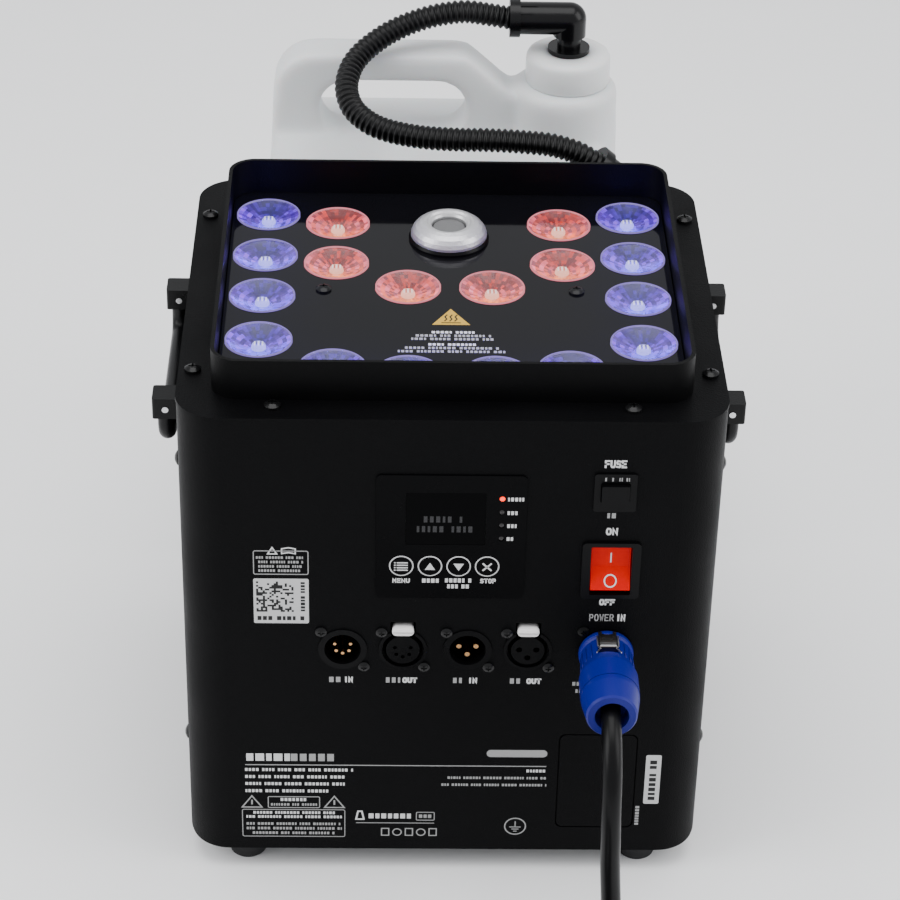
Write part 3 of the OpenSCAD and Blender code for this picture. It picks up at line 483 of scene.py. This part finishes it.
def rib_radius(s):
    t = (s % RIB) / RIB
    wave = 0.5 - 0.5 * math.cos(2 * math.pi * t)
    return 4.75 + 1.35 * wave ** 0.5


shape = Shape()
tube(shape, hose_path, rib_radius, 20)
hose = shape.build("corrugated_hose", [M["hose"]], body=None)
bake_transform(hose)
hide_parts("hose")

# ---- lenses ----

random.seed(7)
# Glow colours of the reflectors: base, with painted highlights at the sides and front and painted shade at the
# rear.
BLUE = dict(base=(0.07, 0.0, 0.62), side=(0.42, 0.1, 1.9), front=(0.06, 0.1, 1.4), rear=(0.025, 0.0, 0.3))
AMBER = dict(base=(1.4, 0.11, 0.0), side=(1.6, 0.24, 0.4), front=(2.2, 0.4, 0.0), rear=(0.6, 0.02, 0.0))
# Material slot, colour of the light that spills from a lens, and its power in watts.
LENS_LIGHT = {"lenses_blue": ("lens_blue", (0.12, 0.08, 1.0), 0.045),
              "lenses_amber": ("lens_amber", (1.0, 0.22, 0.08), 0.005)}


def lens_places(node):
    """Centres of the separate discs in a CAD node, found from its own mesh."""
    mesh = NODES[node].data
    parent = {}

    def root(k):
        while parent.setdefault(k, k) != k:
            k = parent[k]
        return k

    keys = [tuple(round(c * 1e5) for c in v.co) for v in mesh.vertices]
    for e in mesh.edges:
        i, j = root(keys[e.vertices[0]]), root(keys[e.vertices[1]])
        if i != j:
            parent[i] = j
    groups = {}
    for k in keys:
        groups.setdefault(root(k), []).append(k)
    spans = [[(min(q[i] for q in g) + max(q[i] for q in g)) / 200 for i in (0, 1)] for g in groups.values()]
    return [(x - MID_X * 1000, y - MID_Y * 1000) for x, y in spans], box_mm(node)[1][2]


def lerp(a, b, t):
    return tuple(x + (y - x) * t for x, y in zip(a, b))


def add_lens(shape, x, y, top, tone):
    """A shallow faceted reflector with a small chip at its bottom and a bright rim around it; its facets carry
    painted highlights and painted shade by direction.
    """
    place = upright(x, y, top)
    outer = 15.1
    rings = [(14.3, -0.9), (12.6, -1.7), (10.6, -2.6), (8.6, -3.4), (6.6, -4.1), (4.8, -4.6), (3.3, -5.0)]
    n = 40
    verts = [place(r * math.cos(2 * math.pi * k / n), r * math.sin(2 * math.pi * k / n), h)
             for r, h in rings for k in range(n)]
    faces, tints = [], []
    for i in range(len(rings) - 1):
        for k in range(n):
            a = 2 * math.pi * (k + 0.5) / n
            # Painted highlights and shade by direction: facets at the back glow dimmer, facets at the front
            # brighter, and facets at both sides in bright stripes on every other ring, stronger on the left.
            rear, front, side = max(0, math.sin(a)), max(0, -math.sin(a)), abs(math.cos(a)) ** 3
            color = lerp(tone["base"], tone["rear"], min(1, rear * 1.1))
            color = lerp(color, tone["front"], front * 0.75)
            stripe = 0.5 + 0.5 * math.cos(math.pi * i) if side > 0.35 else 0.3
            reach = 0.9 if math.cos(a) < 0 else 0.7
            color = lerp(color, tone["side"], min(1, side * (0.35 + 0.65 * stripe) * reach))
            level = 0.4 + 1.5 * random.random() ** 2
            tints.append(tuple(c * level for c in color))
            faces.append([i * n + k, i * n + (k + 1) % n, (i + 1) * n + (k + 1) % n, (i + 1) * n + k])
    shape.add(verts, faces, 0, tints)
    # chip and the dark and bright bars across it
    chip = lerp(tone["front"], (1.6, 1.6, 1.6), 0.4)
    shape.lathe([(3.3, -5.0), (3.1, -3.6), (2.6, -3.1), (0, -2.9)], place, 12, 0, chip)
    dark = lerp(tone["base"], (0, 0, 0), 0.55)
    for k in range(-2, 3):
        bar = rect(k * 0.9 - 0.22, k * 0.9 + 0.22, -1.4, 1.4)
        shape.prism(bar, -3.05, -2.7, place, 0)
        shape.tints[-6:] = [dark if k % 2 else (1.6, 1.6, 1.6)] * 6
    # rim, glowing paler and brighter than the bowl: a painted highlight along its lip
    rim = lerp(tone["base"], (0.7, 0.6, 0.9), 0.4)
    shape.lathe([(14.3, -0.9), (14.5, -0.15), (14.9, 0.0), (outer, -0.2), (outer, -3.0)], place, 64, 0, rim,
                ring=True)


for node, tone in (("lenses_blue", BLUE), ("lenses_amber", AMBER)):
    places, top = lens_places(node)
    print(node, len(places))
    shape, cover = Shape(), Shape()
    for x, y in places:
        add_lens(shape, x, y, top, tone)
        cover.lathe([(14.35, -0.75), (14.35, -0.35), (12.5, -0.1), (9, 0.1), (4.5, 0.2), (0, 0.22)],
                    upright(x, y, top), 48)
    lit = shape.build(node + "_reflectors", [M["lit"]], smooth=False)
    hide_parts(node)
    slot, shine, watts = LENS_LIGHT[node]
    glass = cover.build(node + "_covers", [M["cover"]], smooth=False)
    for x, y in places:
        light = bpy.data.lights.new("lens_light", "POINT")
        light.color = shine
        light.energy = watts
        light.shadow_soft_size = 0.006
        lamp = bpy.data.objects.new("lens_light", light)
        lamp.location = at(x, y, top + 7)
        lamp.visible_camera = False
        lamp.visible_glossy = False
        scene.collection.objects.link(lamp)

# ---- printed marks ----

LETTERS = {
    "O": [[(0.25, 0), (0.75, 0), (1, 0.25), (1, 0.75), (0.75, 1), (0.25, 1), (0, 0.75), (0, 0.25)]],
    "N": [[(0, 0), (0, 1), (1, 0), (1, 1)]],
    "F": [[(0, 0), (0, 1), (1, 1)], [(0, 0.5), (0.8, 0.5)]],
    "I": [[(0.5, 0), (0.5, 1)]],
    "U": [[(0, 1), (0, 0.25), (0.25, 0), (0.75, 0), (1, 0.25), (1, 1)]],
    "T": [[(0, 1), (1, 1)], [(0.5, 0), (0.5, 0.9)]],
    "M": [[(0, 0), (0, 1), (0.5, 0.4), (1, 1), (1, 0)]],
    "E": [[(1, 0), (0, 0), (0, 1), (1, 1)], [(0, 0.5), (0.8, 0.5)]],
    "S": [[(0, 0.08), (0.75, 0), (1, 0.25), (0.8, 0.5), (0.2, 0.5), (0, 0.75), (0.25, 1), (1, 0.92)]],
    "P": [[(0, 0), (0, 1), (0.75, 1), (1, 0.75), (0.75, 0.45), (0.1, 0.45)]],
    "W": [[(0, 1), (0.25, 0), (0.5, 0.6), (0.75, 0), (1, 1)]],
    "R": [[(0, 0), (0, 1), (0.75, 1), (1, 0.75), (0.75, 0.45), (0.1, 0.45)], [(0.5, 0.4), (1, 0)]],
}
HIGH = 0.06
LOW = -0.03


def word(shape, text, x0, x1, z0, z1, place, half=0.3, mat=0):
    """A generic word such as ON or OFF in plain strokes."""
    pitch = (x1 - x0) / len(text)
    wide = pitch * 0.62
    for i, letter in enumerate(text):
        for line in LETTERS.get(letter, []):
            points = [(x0 + pitch * (i + 0.19) + u * wide, z0 + half + v * (z1 - z0 - 2 * half)) for u, v in line]
            shape.stroke(points, half, LOW, HIGH, place, mat, closed=letter == "O")


def bars(shape, x0, x1, z0, z1, place, mat=0, letter=0.72, gap=0.3):
    """Small blocks in the rhythm of words, in place of lettering."""
    high = z1 - z0
    x, count = x0, random.randint(3, 8)
    while x < x1 - letter * high * 0.5:
        w = high * letter * random.choice((0.7, 0.9, 1.0, 1.1))
        shape.prism(rect(x, min(x + w, x1), z0, z1), LOW, HIGH, place, mat)
        count -= 1
        x += w + high * gap * (3.2 if count == 0 else 1)
        if count == 0:
            count = random.randint(3, 8)


def frame_line(shape, x0, x1, z0, z1, r, half, place, mat=0):
    shape.stroke(rounded(x0, x1, z0, z1, r, 4), half, LOW, HIGH, place, mat, closed=True)


random.seed(11)
face = outward(0, FRONT, 0)
ink = Shape()
WHITE, GREY, INK, PALE = 0, 1, 2, 3
for text, x0, x1, z0, z1 in (("FUSE", 65.9, 75.7, 229.6, 233.6), ("ON", 68.1, 73.6, 194.2, 198.0),
                             ("OFF", 67.0, 74.2, 156.0, 159.4), ("IN", 75.0, 79.2, 147.2, 151.0),
                             ("IN", -47.1, -42.9, 111.5, 114.7), ("OUT", -20.4, -13.7, 111.4, 114.5),
                             ("IN", 9.3, 13.6, 111.4, 114.6), ("OUT", 36.0, 42.8, 111.3, 114.4)):
    word(ink, text, x0, x1, z0, z1, face, 0.42)
word(ink, "POWER", 62.8, 74.2, 147.2, 151.0, face, 0.24, GREY)
for x0, x1, z0 in ((-53.7, -48.0, 111.6), (-27.9, -21.4, 111.5), (2.6, 8.4, 111.5), (28.5, 35.0, 111.4)):
    bars(ink, x0, x1, z0, z0 + 3.0, face, GREY, 0.62, 0.35)
bars(ink, 68.4, 73.4, 203.2, 205.9, face, GREY, 0.6, 0.3)
bars(ink, 57.0, 61.4, 110.5, 112.6, face, GREY)
bars(ink, 58.6, 61.4, 106.4, 108.4, face, GREY)
# framed notice
frame_line(ink, -86.9, -62.8, 171.6, 184.2, 0.8, 0.22, face, GREY)
ink.stroke([(-80.6, 182.6), (-76.6, 182.6), (-78.6, 186.0)], 0.3, LOW, HIGH, face, WHITE, closed=True)
ink.stroke([(-74.4, 182.8), (-71.4, 183.4), (-68.4, 182.8), (-68.4, 185.4), (-71.4, 186.0), (-74.4, 185.4)],
           0.3, LOW, HIGH, face, WHITE, closed=True)
for z in (180.0, 177.6, 175.2, 172.9):
    bars(ink, -84.8 if z < 179 else -85.8, -65.0, z, z + 1.3, face, GREY)
# pale label with a plain block pattern
ink.prism(rounded(-87.2, -62.6, 144.7, 169.2, 0.8), LOW, HIGH, face, PALE)
cell = 0.98
for i in range(17):
    for j in range(17):
        if random.random() < 0.46:
            x, z = -86.0 + i * cell, 151.0 + j * cell
            ink.prism(rect(x, x + cell, z, z + cell), HIGH - 0.02, HIGH + 0.03, face, INK)
upward = lambda u, v, h: face(-v, u, h + 0.04)
bars(ink, 151.4, 167.4, 64.3, 66.2, upward, INK)
bars(ink, -85.6, -64.4, 146.4, 148.6, lambda u, v, h: face(u, v, h + 0.04), INK, 0.8)
# name, lines and small print, all as plain blocks
bars(ink, -92.2, -72.0, 65.3, 69.6, face, WHITE, 0.85, 0.22)
bars(ink, -71.6, -51.6, 65.3, 69.6, face, GREY, 0.8, 0.26)
ink.prism(rounded(19.1, 47.2, 68.4, 72.6, 2.0), LOW, HIGH, face, GREY)
ink.prism(rect(-92.8, 47.0, 62.7, 63.2), LOW, HIGH, face, GREY)
for x1, z in ((-42.8, 59.2), (-44.6, 55.0), (-45.6, 50.8), (-53.5, 46.5)):
    bars(ink, -92.9, x1, z, z + 1.7, face, WHITE)
bars(ink, 37.8, 47.4, 59.4, 61.0, face, WHITE)
bars(ink, 1.2, 47.4, 55.2, 56.6, face, GREY)
bars(ink, -1.6, 47.4, 51.0, 52.4, face, GREY)
# caution block: triangles, a frame and small print
for x in (-90.0, -51.5):
    ink.stroke([(x - 4.6, 37.4), (x + 4.6, 37.4), (x, 44.2)], 0.32, LOW, HIGH, face, GREY, closed=True)
    ink.prism(rect(x - 0.4, x + 0.4, 39.0, 41.8), LOW, HIGH, face, GREY)
frame_line(ink, -82.4, -58.4, 37.2, 43.8, 0.6, 0.22, face, GREY)
bars(ink, -76.6, -63.8, 41.2, 43.0, face, WHITE)
bars(ink, -81.2, -59.6, 38.4, 39.8, face, GREY)
frame_line(ink, -94.6, -46.6, 19.6, 36.0, 0.8, 0.2, face, GREY)
for x0, z in ((-89.5, 33.4), (-92.8, 30.9), (-92.8, 26.6), (-92.8, 23.8), (-90.0, 21.0)):
    bars(ink, x0, -185 + 44.2 - x0, z, z + 1.5, face, WHITE if z > 30 else GREY)
# weight line and generic symbols
ink.stroke([(-41.3, 30.4), (-37.7, 30.4), (-38.6, 35.2), (-40.4, 35.2)], 0.4, LOW, HIGH, face, WHITE, closed=True)
bars(ink, -35.4, -15.0, 31.0, 33.9, face, WHITE)
frame_line(ink, -13.0, -4.6, 30.0, 34.8, 0.5, 0.2, face, GREY)
bars(ink, -11.8, -5.6, 31.4, 33.4, face, GREY)
ink.prism(rect(-41.3, -4.6, 28.0, 28.4), LOW, HIGH, face, GREY)
for k in range(5):
    x = -27.6 + 5.6 * k
    if k % 2:
        ink.stroke(circle(x, 22.6, 2.0, 20), 0.28, LOW, HIGH, face, GREY, closed=True)
    else:
        ink.stroke(rect(x - 1.7, x + 1.7, 20.6, 24.8), 0.28, LOW, HIGH, face, GREY, closed=True)
ink.stroke(circle(33.6, 26.6, 4.9, 32), 0.3, LOW, HIGH, face, GREY, closed=True)
for k, w in enumerate((2.7, 1.7, 0.8)):
    ink.prism(rect(33.6 - w, 33.6 + w, 25.9 - k * 1.3, 26.4 - k * 1.3), LOW, HIGH, face, GREY)
ink.prism(rect(33.35, 33.85, 26.2, 29.6), LOW, HIGH, face, GREY)
# pale side label
ink.prism(rounded(93.2, 100.4, 40.9, 70.1, 0.9), LOW, HIGH, face, PALE)
bars(ink, 43.2, 68.0, -98.4, -95.2, upward, INK, 0.62, 0.3)
bars(ink, 28.0, 40.0, -91.6, -89.8, lambda u, v, h: face(-v, u, h), GREY, 0.7)
prints = ink.build("front_prints", [M["white"], M["grey"], M["ink"], M["label"]], smooth=False)

# keys and their rings, the row names and the window
overlay = outward(0, box_mm("control_overlay")[0][1], 0)
ink = Shape()
for node in ("button_menu", "button_up", "button_down", "button_exit"):
    a, b = box_mm(node)
    x, z = (a[0] + b[0]) / 2, (a[2] + b[2]) / 2
    ink.stroke(circle(x, z, 5.15, 40), 0.28, LOW, HIGH, overlay, WHITE, closed=True)
    top = outward(x, a[1], z)
    icon = Shape()
    if node == "button_menu":
        for k in (-2, -0.66, 0.66, 2):
            icon.prism(rect(-2.0, 2.9, k - 0.3, k + 0.3), LOW, HIGH, top)
            icon.prism(rect(-3.2, -2.5, k - 0.3, k + 0.3), LOW, HIGH, top)
    elif node == "button_exit":
        for s in (-1, 1):
            icon.stroke([(-1.7, -1.7 * s), (1.7, 1.7 * s)], 0.38, LOW, HIGH, top)
    else:
        s = 1 if node == "button_up" else -1
        outline = [(-2.3, -1.7 * s), (2.3, -1.7 * s), (0, 2.1 * s)]
        icon.prism(outline if s > 0 else outline[::-1], LOW, HIGH, top)
    drawn = icon.build(node + "_symbol", [M["white"]], body=node, smooth=False)
word(ink, "MENU", -25.6, -17.6, 168.0, 170.4, overlay, 0.27)
bars(ink, -12.3, -4.3, 168.2, 170.4, overlay, WHITE, 0.66, 0.24)
bars(ink, -2.1, 9.8, 168.4, 170.6, overlay, WHITE, 0.66, 0.24)
bars(ink, -1.1, 9.4, 165.2, 167.3, overlay, WHITE, 0.66, 0.24)
word(ink, "STOP", 13.4, 20.6, 168.1, 170.6, overlay, 0.27)
for x1, z in ((31.6, 212.2), (29.5, 205.0), (29.5, 198.1), (28.2, 191.2)):
    bars(ink, 24.6, x1, z, z + 1.9, overlay, WHITE, 0.6, 0.28)
glass = outward(0, box_mm("display_window")[0][1], 0)
for x0, x1, z in ((-12.0, 6.0, 200.6), (-15.0, 11.0, 195.4)):
    bars(ink, x0, x1, z, z + 3.2, glass, 2, 0.5, 0.35)
drawn = ink.build("overlay_prints", [M["white"], M["grey"], M["faint"]], smooth=False)


def surface(node):
    """A way to find how far forward a CAD node's own surface is at x, z."""
    mesh = NODES[node].data
    tree = BVHTree.FromPolygons([v.co for v in mesh.vertices], [list(p.vertices) for p in mesh.polygons])

    def place(x, z, h):
        hit = tree.ray_cast(at(x, FRONT - 60, z), Vector((0, 1, 0)))[0]
        y = (hit.y - MID_Y) * 1000 if hit else FRONT
        return (x, y - h, z)
    return place


# rocker symbols
a, b = box_mm("rocker")
x, z = (a[0] + b[0]) / 2, (a[2] + b[2]) / 2
place = surface("rocker")
icon = Shape()
icon.stroke([(x, z + 3.0), (x, z + 5.6), (x, z + 7.6)], 0.3, LOW, HIGH, place)
icon.stroke(circle(x, z - 5.6, 2.6, 28), 0.3, LOW, HIGH, place, closed=True)
drawn = icon.build("rocker_symbols", [M["white"]], body="rocker", smooth=False)

# breaker marks
place = surface("breaker_body")
icon = Shape()
for k in range(4):
    x = 66.4 + k * 3.1
    bars(icon, x, x + 1.5, 223.3, 225.1, place, 0, 0.4, 0.25)
drawn = icon.build("breaker_marks", [M["grey"]], smooth=False)

# panel triangle and small print
flat = upright(0, 0, box_mm("lens_panel")[1][2])
ink = Shape()
ink.prism([(-8.6, -33.0), (8.6, -33.0), (0, -18.8)], LOW, HIGH, flat, 0)
for k in (-1, 0, 1):
    ink.stroke([(k * 2.3 - 0.5, -29.6), (k * 2.3 + 0.4, -28.0), (k * 2.3 - 0.4, -26.0), (k * 2.3 + 0.5, -24.4)],
               0.34, HIGH - 0.02, HIGH + 0.03, flat, 1)
ink.prism(rect(-4.4, 4.4, -31.6, -30.9), HIGH - 0.02, HIGH + 0.03, flat, 1)
for x0, x1, y, mat in ((-8.8, 10.4, -38.6, 2), (-16.0, 18.0, -41.6, 3), (-18.0, 19.6, -44.5, 3),
                       (-10.4, 12.0, -49.2, 2), (-20.8, 22.0, -52.2, 3), (-24.0, 24.6, -55.2, 3)):
    bars(ink, x0, x1, y - 1.9, y, flat, mat)
drawn = ink.build("panel_prints", [M["yellow"], M["ink"], M["white"], M["grey"]], smooth=False)

# lit and dark status lamps, each a small dome in its hole
a, b = box_mm("status_lamps")
lamps = Shape()
for k in range(4):
    z = b[2] - 1.5 - (b[2] - a[2] - 3.0) * k / 3
    lamps.lathe([(1.45, -1.5), (1.45, 0.2), (1.2, 0.6), (0.7, 0.85), (0, 0.95)],
                lambda u, v, h, z=z: ((a[0] + b[0]) / 2 + u, a[1] + 0.9 - h, z + v), 24, 0 if k == 0 else 1)
drawn = lamps.build("status_lamp_domes", [M["lamp_on"], M["lamp_off"]])
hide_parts("status_lamps")

# oval release tabs of the two female sockets
for node in ("push_tab_5", "push_tab_3"):
    a, b = box_mm(node)
    x, z, w, h = (a[0] + b[0]) / 2, (a[2] + b[2]) / 2, (b[0] - a[0]) / 2, (b[2] - a[2]) / 2
    tab = Shape()
    small = min(w, h)
    ring = lambda d, r: rounded(x - w + d, x + w - d, z - h + d, z + h - d, small * r, 6)
    deep = b[1] - a[1]
    tab.loft([(ring(0, 0.92), -deep), (ring(0, 0.92), -0.8), (ring(0.25, 0.85), -0.3), (ring(0.8, 0.7), 0)],
             outward(0, a[1], 0))
    drawn = tab.build(node + "_oval", [M["tab"]], body=node)
    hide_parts(node)

# ---- fluid can: blow-moulded form, smoothed as one skin ----

cap_lo, cap_hi = box_mm("can_cap")
can_foot = box_mm("can")[0][2]
NECK_X, CAN_Y = (cap_lo[0] + cap_hi[0]) / 2, (cap_lo[1] + cap_hi[1]) / 2
GRIP_HALF = 12.0
GRIP_CIRCLES = [(-79, 226, 11), (-66.5, 258.5, 22), (5.5, 268.5, 12), (22, 254, 12), (26, 232, 10)]


def support_outline(circles, n=120):
    points = []
    for k in range(n):
        d = (math.cos(2 * math.pi * k / n), math.sin(2 * math.pi * k / n))
        x, z, r = max(circles, key=lambda c: c[0] * d[0] + c[1] * d[1] + c[2])
        points.append((x + r * d[0], z + r * d[1]))
    return points


def seen_from(outline, cx, cz, n):
    """The outline resampled on n even rays from a point inside it."""
    out = []
    for k in range(n):
        dx, dz = math.cos(2 * math.pi * k / n), math.sin(2 * math.pi * k / n)
        best = 0
        for (ax, az), (bx, bz) in zip(outline, outline[1:] + outline[:1]):
            ex, ez = bx - ax, bz - az
            det = dx * ez - dz * ex
            if abs(det) > 1e-12:
                t = ((ax - cx) * ez - (az - cz) * ex) / det
                u = ((ax - cx) * dz - (az - cz) * dx) / det
                if -1e-9 <= u <= 1 + 1e-9:
                    best = max(best, t)
        out.append((cx + dx * best, cz + dz * best))
    return out


shape = Shape()
body = lambda w, d, r: rounded(-w / 2, w / 2, CAN_Y - d / 2, CAN_Y + d / 2, r, 10)
shape.loft([(body(172, 105, 14), can_foot + 0.8), (body(180, 113, 18), can_foot + 3.5),
            (body(182, 115, 20), can_foot + 9), (body(182, 115, 20), 206), (body(182, 113, 20), 216),
            (body(180, 104, 20), 224), (body(177, 82, 20), 231), (body(172, 56, 18), 235)], upright(0, 0, 0))
SLOT_MIDDLE = (-26.75, 250.2)
outer = seen_from(support_outline(GRIP_CIRCLES), *SLOT_MIDDLE, 96)
inner = seen_from(rounded(-64.7, 11.2, 235.5, 264.9, 14.6, 12), *SLOT_MIDDLE, 96)
shape.band(outer, inner, -GRIP_HALF, GRIP_HALF, outward(0, CAN_Y, 0))
shape.lathe([(0, 226), (28.5, 226), (28.2, 236), (27.5, 246), (27.5, 258), (26.6, 260.8), (24.2, 262.2),
             (0, 262.4)], upright(NECK_X - 1.4, CAN_Y, 0), 64)
shape.lathe([(0, 250), (17.0, 250), (17.0, 270), (0, 270)], upright(NECK_X, CAN_Y, 0), 48)
can = shape.build("can_blow_moulded", [M["can"]], body=None)
skin = can.modifiers.new("skin", "REMESH")
skin.mode = "VOXEL"
skin.voxel_size = 0.0024
relax = can.modifiers.new("relax", "SMOOTH")
relax.factor = 0.5
relax.iterations = 10
evaluated = can.evaluated_get(bpy.context.evaluated_depsgraph_get())
moulded = bpy.data.meshes.new_from_object(evaluated)
can.modifiers.clear()
can.data = moulded
for poly in moulded.polygons:
    poly.use_smooth = True
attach(can, "fluid_can")
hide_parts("can")

shape = Shape()
top, low = cap_hi[2], cap_lo[2]
r = (cap_hi[0] - cap_lo[0]) / 2
profile = [(r - 4.2, top), (r - 2.4, top - 0.35), (r - 1.0, top - 1.2), (r - 0.25, top - 2.6),
           (r, top - 4.6), (r, low + 0.7), (r - 0.5, low), (17.3, low),
           (17.3, top - 3.6), (6.6, top - 3.6), (6.6, top)]
shape.lathe(profile, upright(NECK_X, CAN_Y, 0), 96, ring=True)
cap = shape.build("screw_cap", [M["cap"]], body="can_cap")
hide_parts("can_cap")

# raised frame and line on the cap elbow's arm
elbow_lo, elbow_hi = box_mm("cap_elbow")
shape = Shape()
arm_z = elbow_hi[2] - 9.9
arm_r = 8.42
on_arm = lambda u, v, h: (u, CAN_Y - (arm_r + h) * math.cos(v / arm_r),
                          arm_z + (arm_r + h) * math.sin(v / arm_r))
x0 = elbow_lo[0] + 5
for x1, x2, v1, v2 in ((x0, x0 + 6.8, -2.4, -1.6), (x0, x0 + 6.8, 5.2, 6.0), (x0, x0 + 0.8, -2.4, 6.0),
                       (x0 + 6, x0 + 6.8, -2.4, 6.0), (x0, x0 + 9, 9.6, 10.1)):
    shape.loft([(rect(x1, x2, v1, v2), -0.4), (rect(x1 + 0.15, x2 - 0.15, v1 + 0.15, v2 - 0.15), 0.4)], on_arm)
marks = shape.build("elbow_moulding", [M["elbow"]], body="fluid_can", smooth=False)

# ---- power plug details ----

plug_lo, plug_hi = box_mm("power_plug")
latch_lo, latch_hi = box_mm("plug_latch")
PLUG_X, PLUG_Z = (plug_lo[0] + plug_hi[0]) / 2, (plug_lo[2] + plug_hi[2]) / 2
shape = Shape()


def around(r):
    """Local plane: angle from the top, distance out of the face, height above the plug's surface."""
    return lambda u, v, h: (PLUG_X + (r(v) + h) * math.sin(u), FRONT - v, PLUG_Z + (r(v) + h) * math.cos(u))


barrel = lambda v: 11.6 if v < 14.4 else min(13.3, 11.6 + (v - 14.4) * 1.7 / 7)
for k in range(-9, 10):
    a = math.radians(16 * k + 8)
    if abs(a) > 0.5:
        shape.loft([(rect(a - 0.03, a + 0.03, 6, 17), -0.3), (rect(a - 0.015, a + 0.015, 6.4, 16.6), 0.28)],
                   around(barrel))
shape.lathe([(12.2, 0.6), (12.45, 1.0), (12.45, 2.8), (12.0, 3.6)],
            lambda u, v, h: (PLUG_X + u, FRONT - h, PLUG_Z + v), 72)
ribs = shape.build("plug_ribs", [M["blue"]])
shape = Shape()
zt = latch_hi[2]
for sx in (-1, 1):
    edge = ((4.7, 4.0), (4.7, 11.0), (3.6, 13.0), (5.4, 16.6))
    shape.stroke([(PLUG_X + sx * u, -FRONT + v) for u, v in edge], 0.28, 0.0, 0.5,
                 lambda u, v, h: (u, -v, PLUG_Z + 11.4 + h + max(0, (v + FRONT) - 14.4) * 0.24))
wire = shape.build("plug_recess_edge", [M["bright"]], smooth=False)
shape = Shape()
depth0, depth1 = -latch_hi[1] + 0.2, -latch_lo[1]
half = (latch_hi[0] - latch_lo[0]) / 2
lie = lambda u, v, h: (PLUG_X + u, -v, zt + h)
shape.loft([(rect(-half, half, depth0, depth1), -3.0), (rect(-half, half, depth0, depth1), -0.4),
            (rect(-half + 0.5, half - 0.5, depth0 + 0.5, depth1 - 0.5), 0.0)], lie)
shape.loft([(rect(-half + 0.3, half - 0.3, depth1 - 3.0, depth1 - 0.2), -0.1),
            (rect(-half + 0.7, half - 0.7, depth1 - 2.6, depth1 - 0.5), 0.35)], lie, 1)
sweep = [math.pi * k / 12 for k in range(13)]
crescent = [(2.6 * math.cos(t), depth0 + 4.6 + 2.6 * math.sin(t)) for t in sweep]
crescent += [(2.0 * math.cos(t), depth0 + 4.6 + 1.2 * math.sin(t)) for t in sweep[::-1]]
shape.prism(crescent[::-1], -0.05, 0.08, lie, 2)
latch = shape.build("latch_tongue", [M["latch"], M["bright"], M["ink"]], body="plug_latch", smooth=False)
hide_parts("plug_latch")

# ---- floor, world and lights ----

floor = bpy.data.meshes.new("floor")
floor.from_pydata([(-6, -6, 0), (6, -6, 0), (6, 6, 0), (-6, 6, 0)], [], [(0, 1, 2, 3)])
floor_obj = bpy.data.objects.new("floor", floor)
floor.materials.append(material("floor_pale", (0.92, 0.92, 0.925), 0.6, specular=0.2, grain=60, bump=0.0,
                                tone=0.01))
scene.collection.objects.link(floor_obj)

world = bpy.data.worlds.new("studio")
scene.world = world
world.use_nodes = True
world.node_tree.nodes["Background"].inputs["Color"].default_value = (0.96, 0.975, 1.0, 1)
world.node_tree.nodes["Background"].inputs["Strength"].default_value = 1.0


def softbox(name, place, aim, size, power):
    light = bpy.data.lights.new(name, "AREA")
    light.shape = "RECTANGLE"
    light.size, light.size_y = size
    light.energy = power
    obj = bpy.data.objects.new(name, light)
    obj.location = place
    obj.rotation_euler = (Vector(aim) - Vector(place)).to_track_quat("-Z", "Y").to_euler()
    scene.collection.objects.link(obj)


middle = at(0, 30, 200)
softbox("top_softbox", middle + Vector((0, -0.1, 1.6)), middle, (1.6, 1.2), 22)
softbox("left_softbox", middle + Vector((-1.5, -0.5, 0.9)), middle, (1.0, 1.4), 20)
softbox("right_softbox", middle + Vector((1.5, -0.4, 0.8)), middle, (1.0, 1.4), 16)
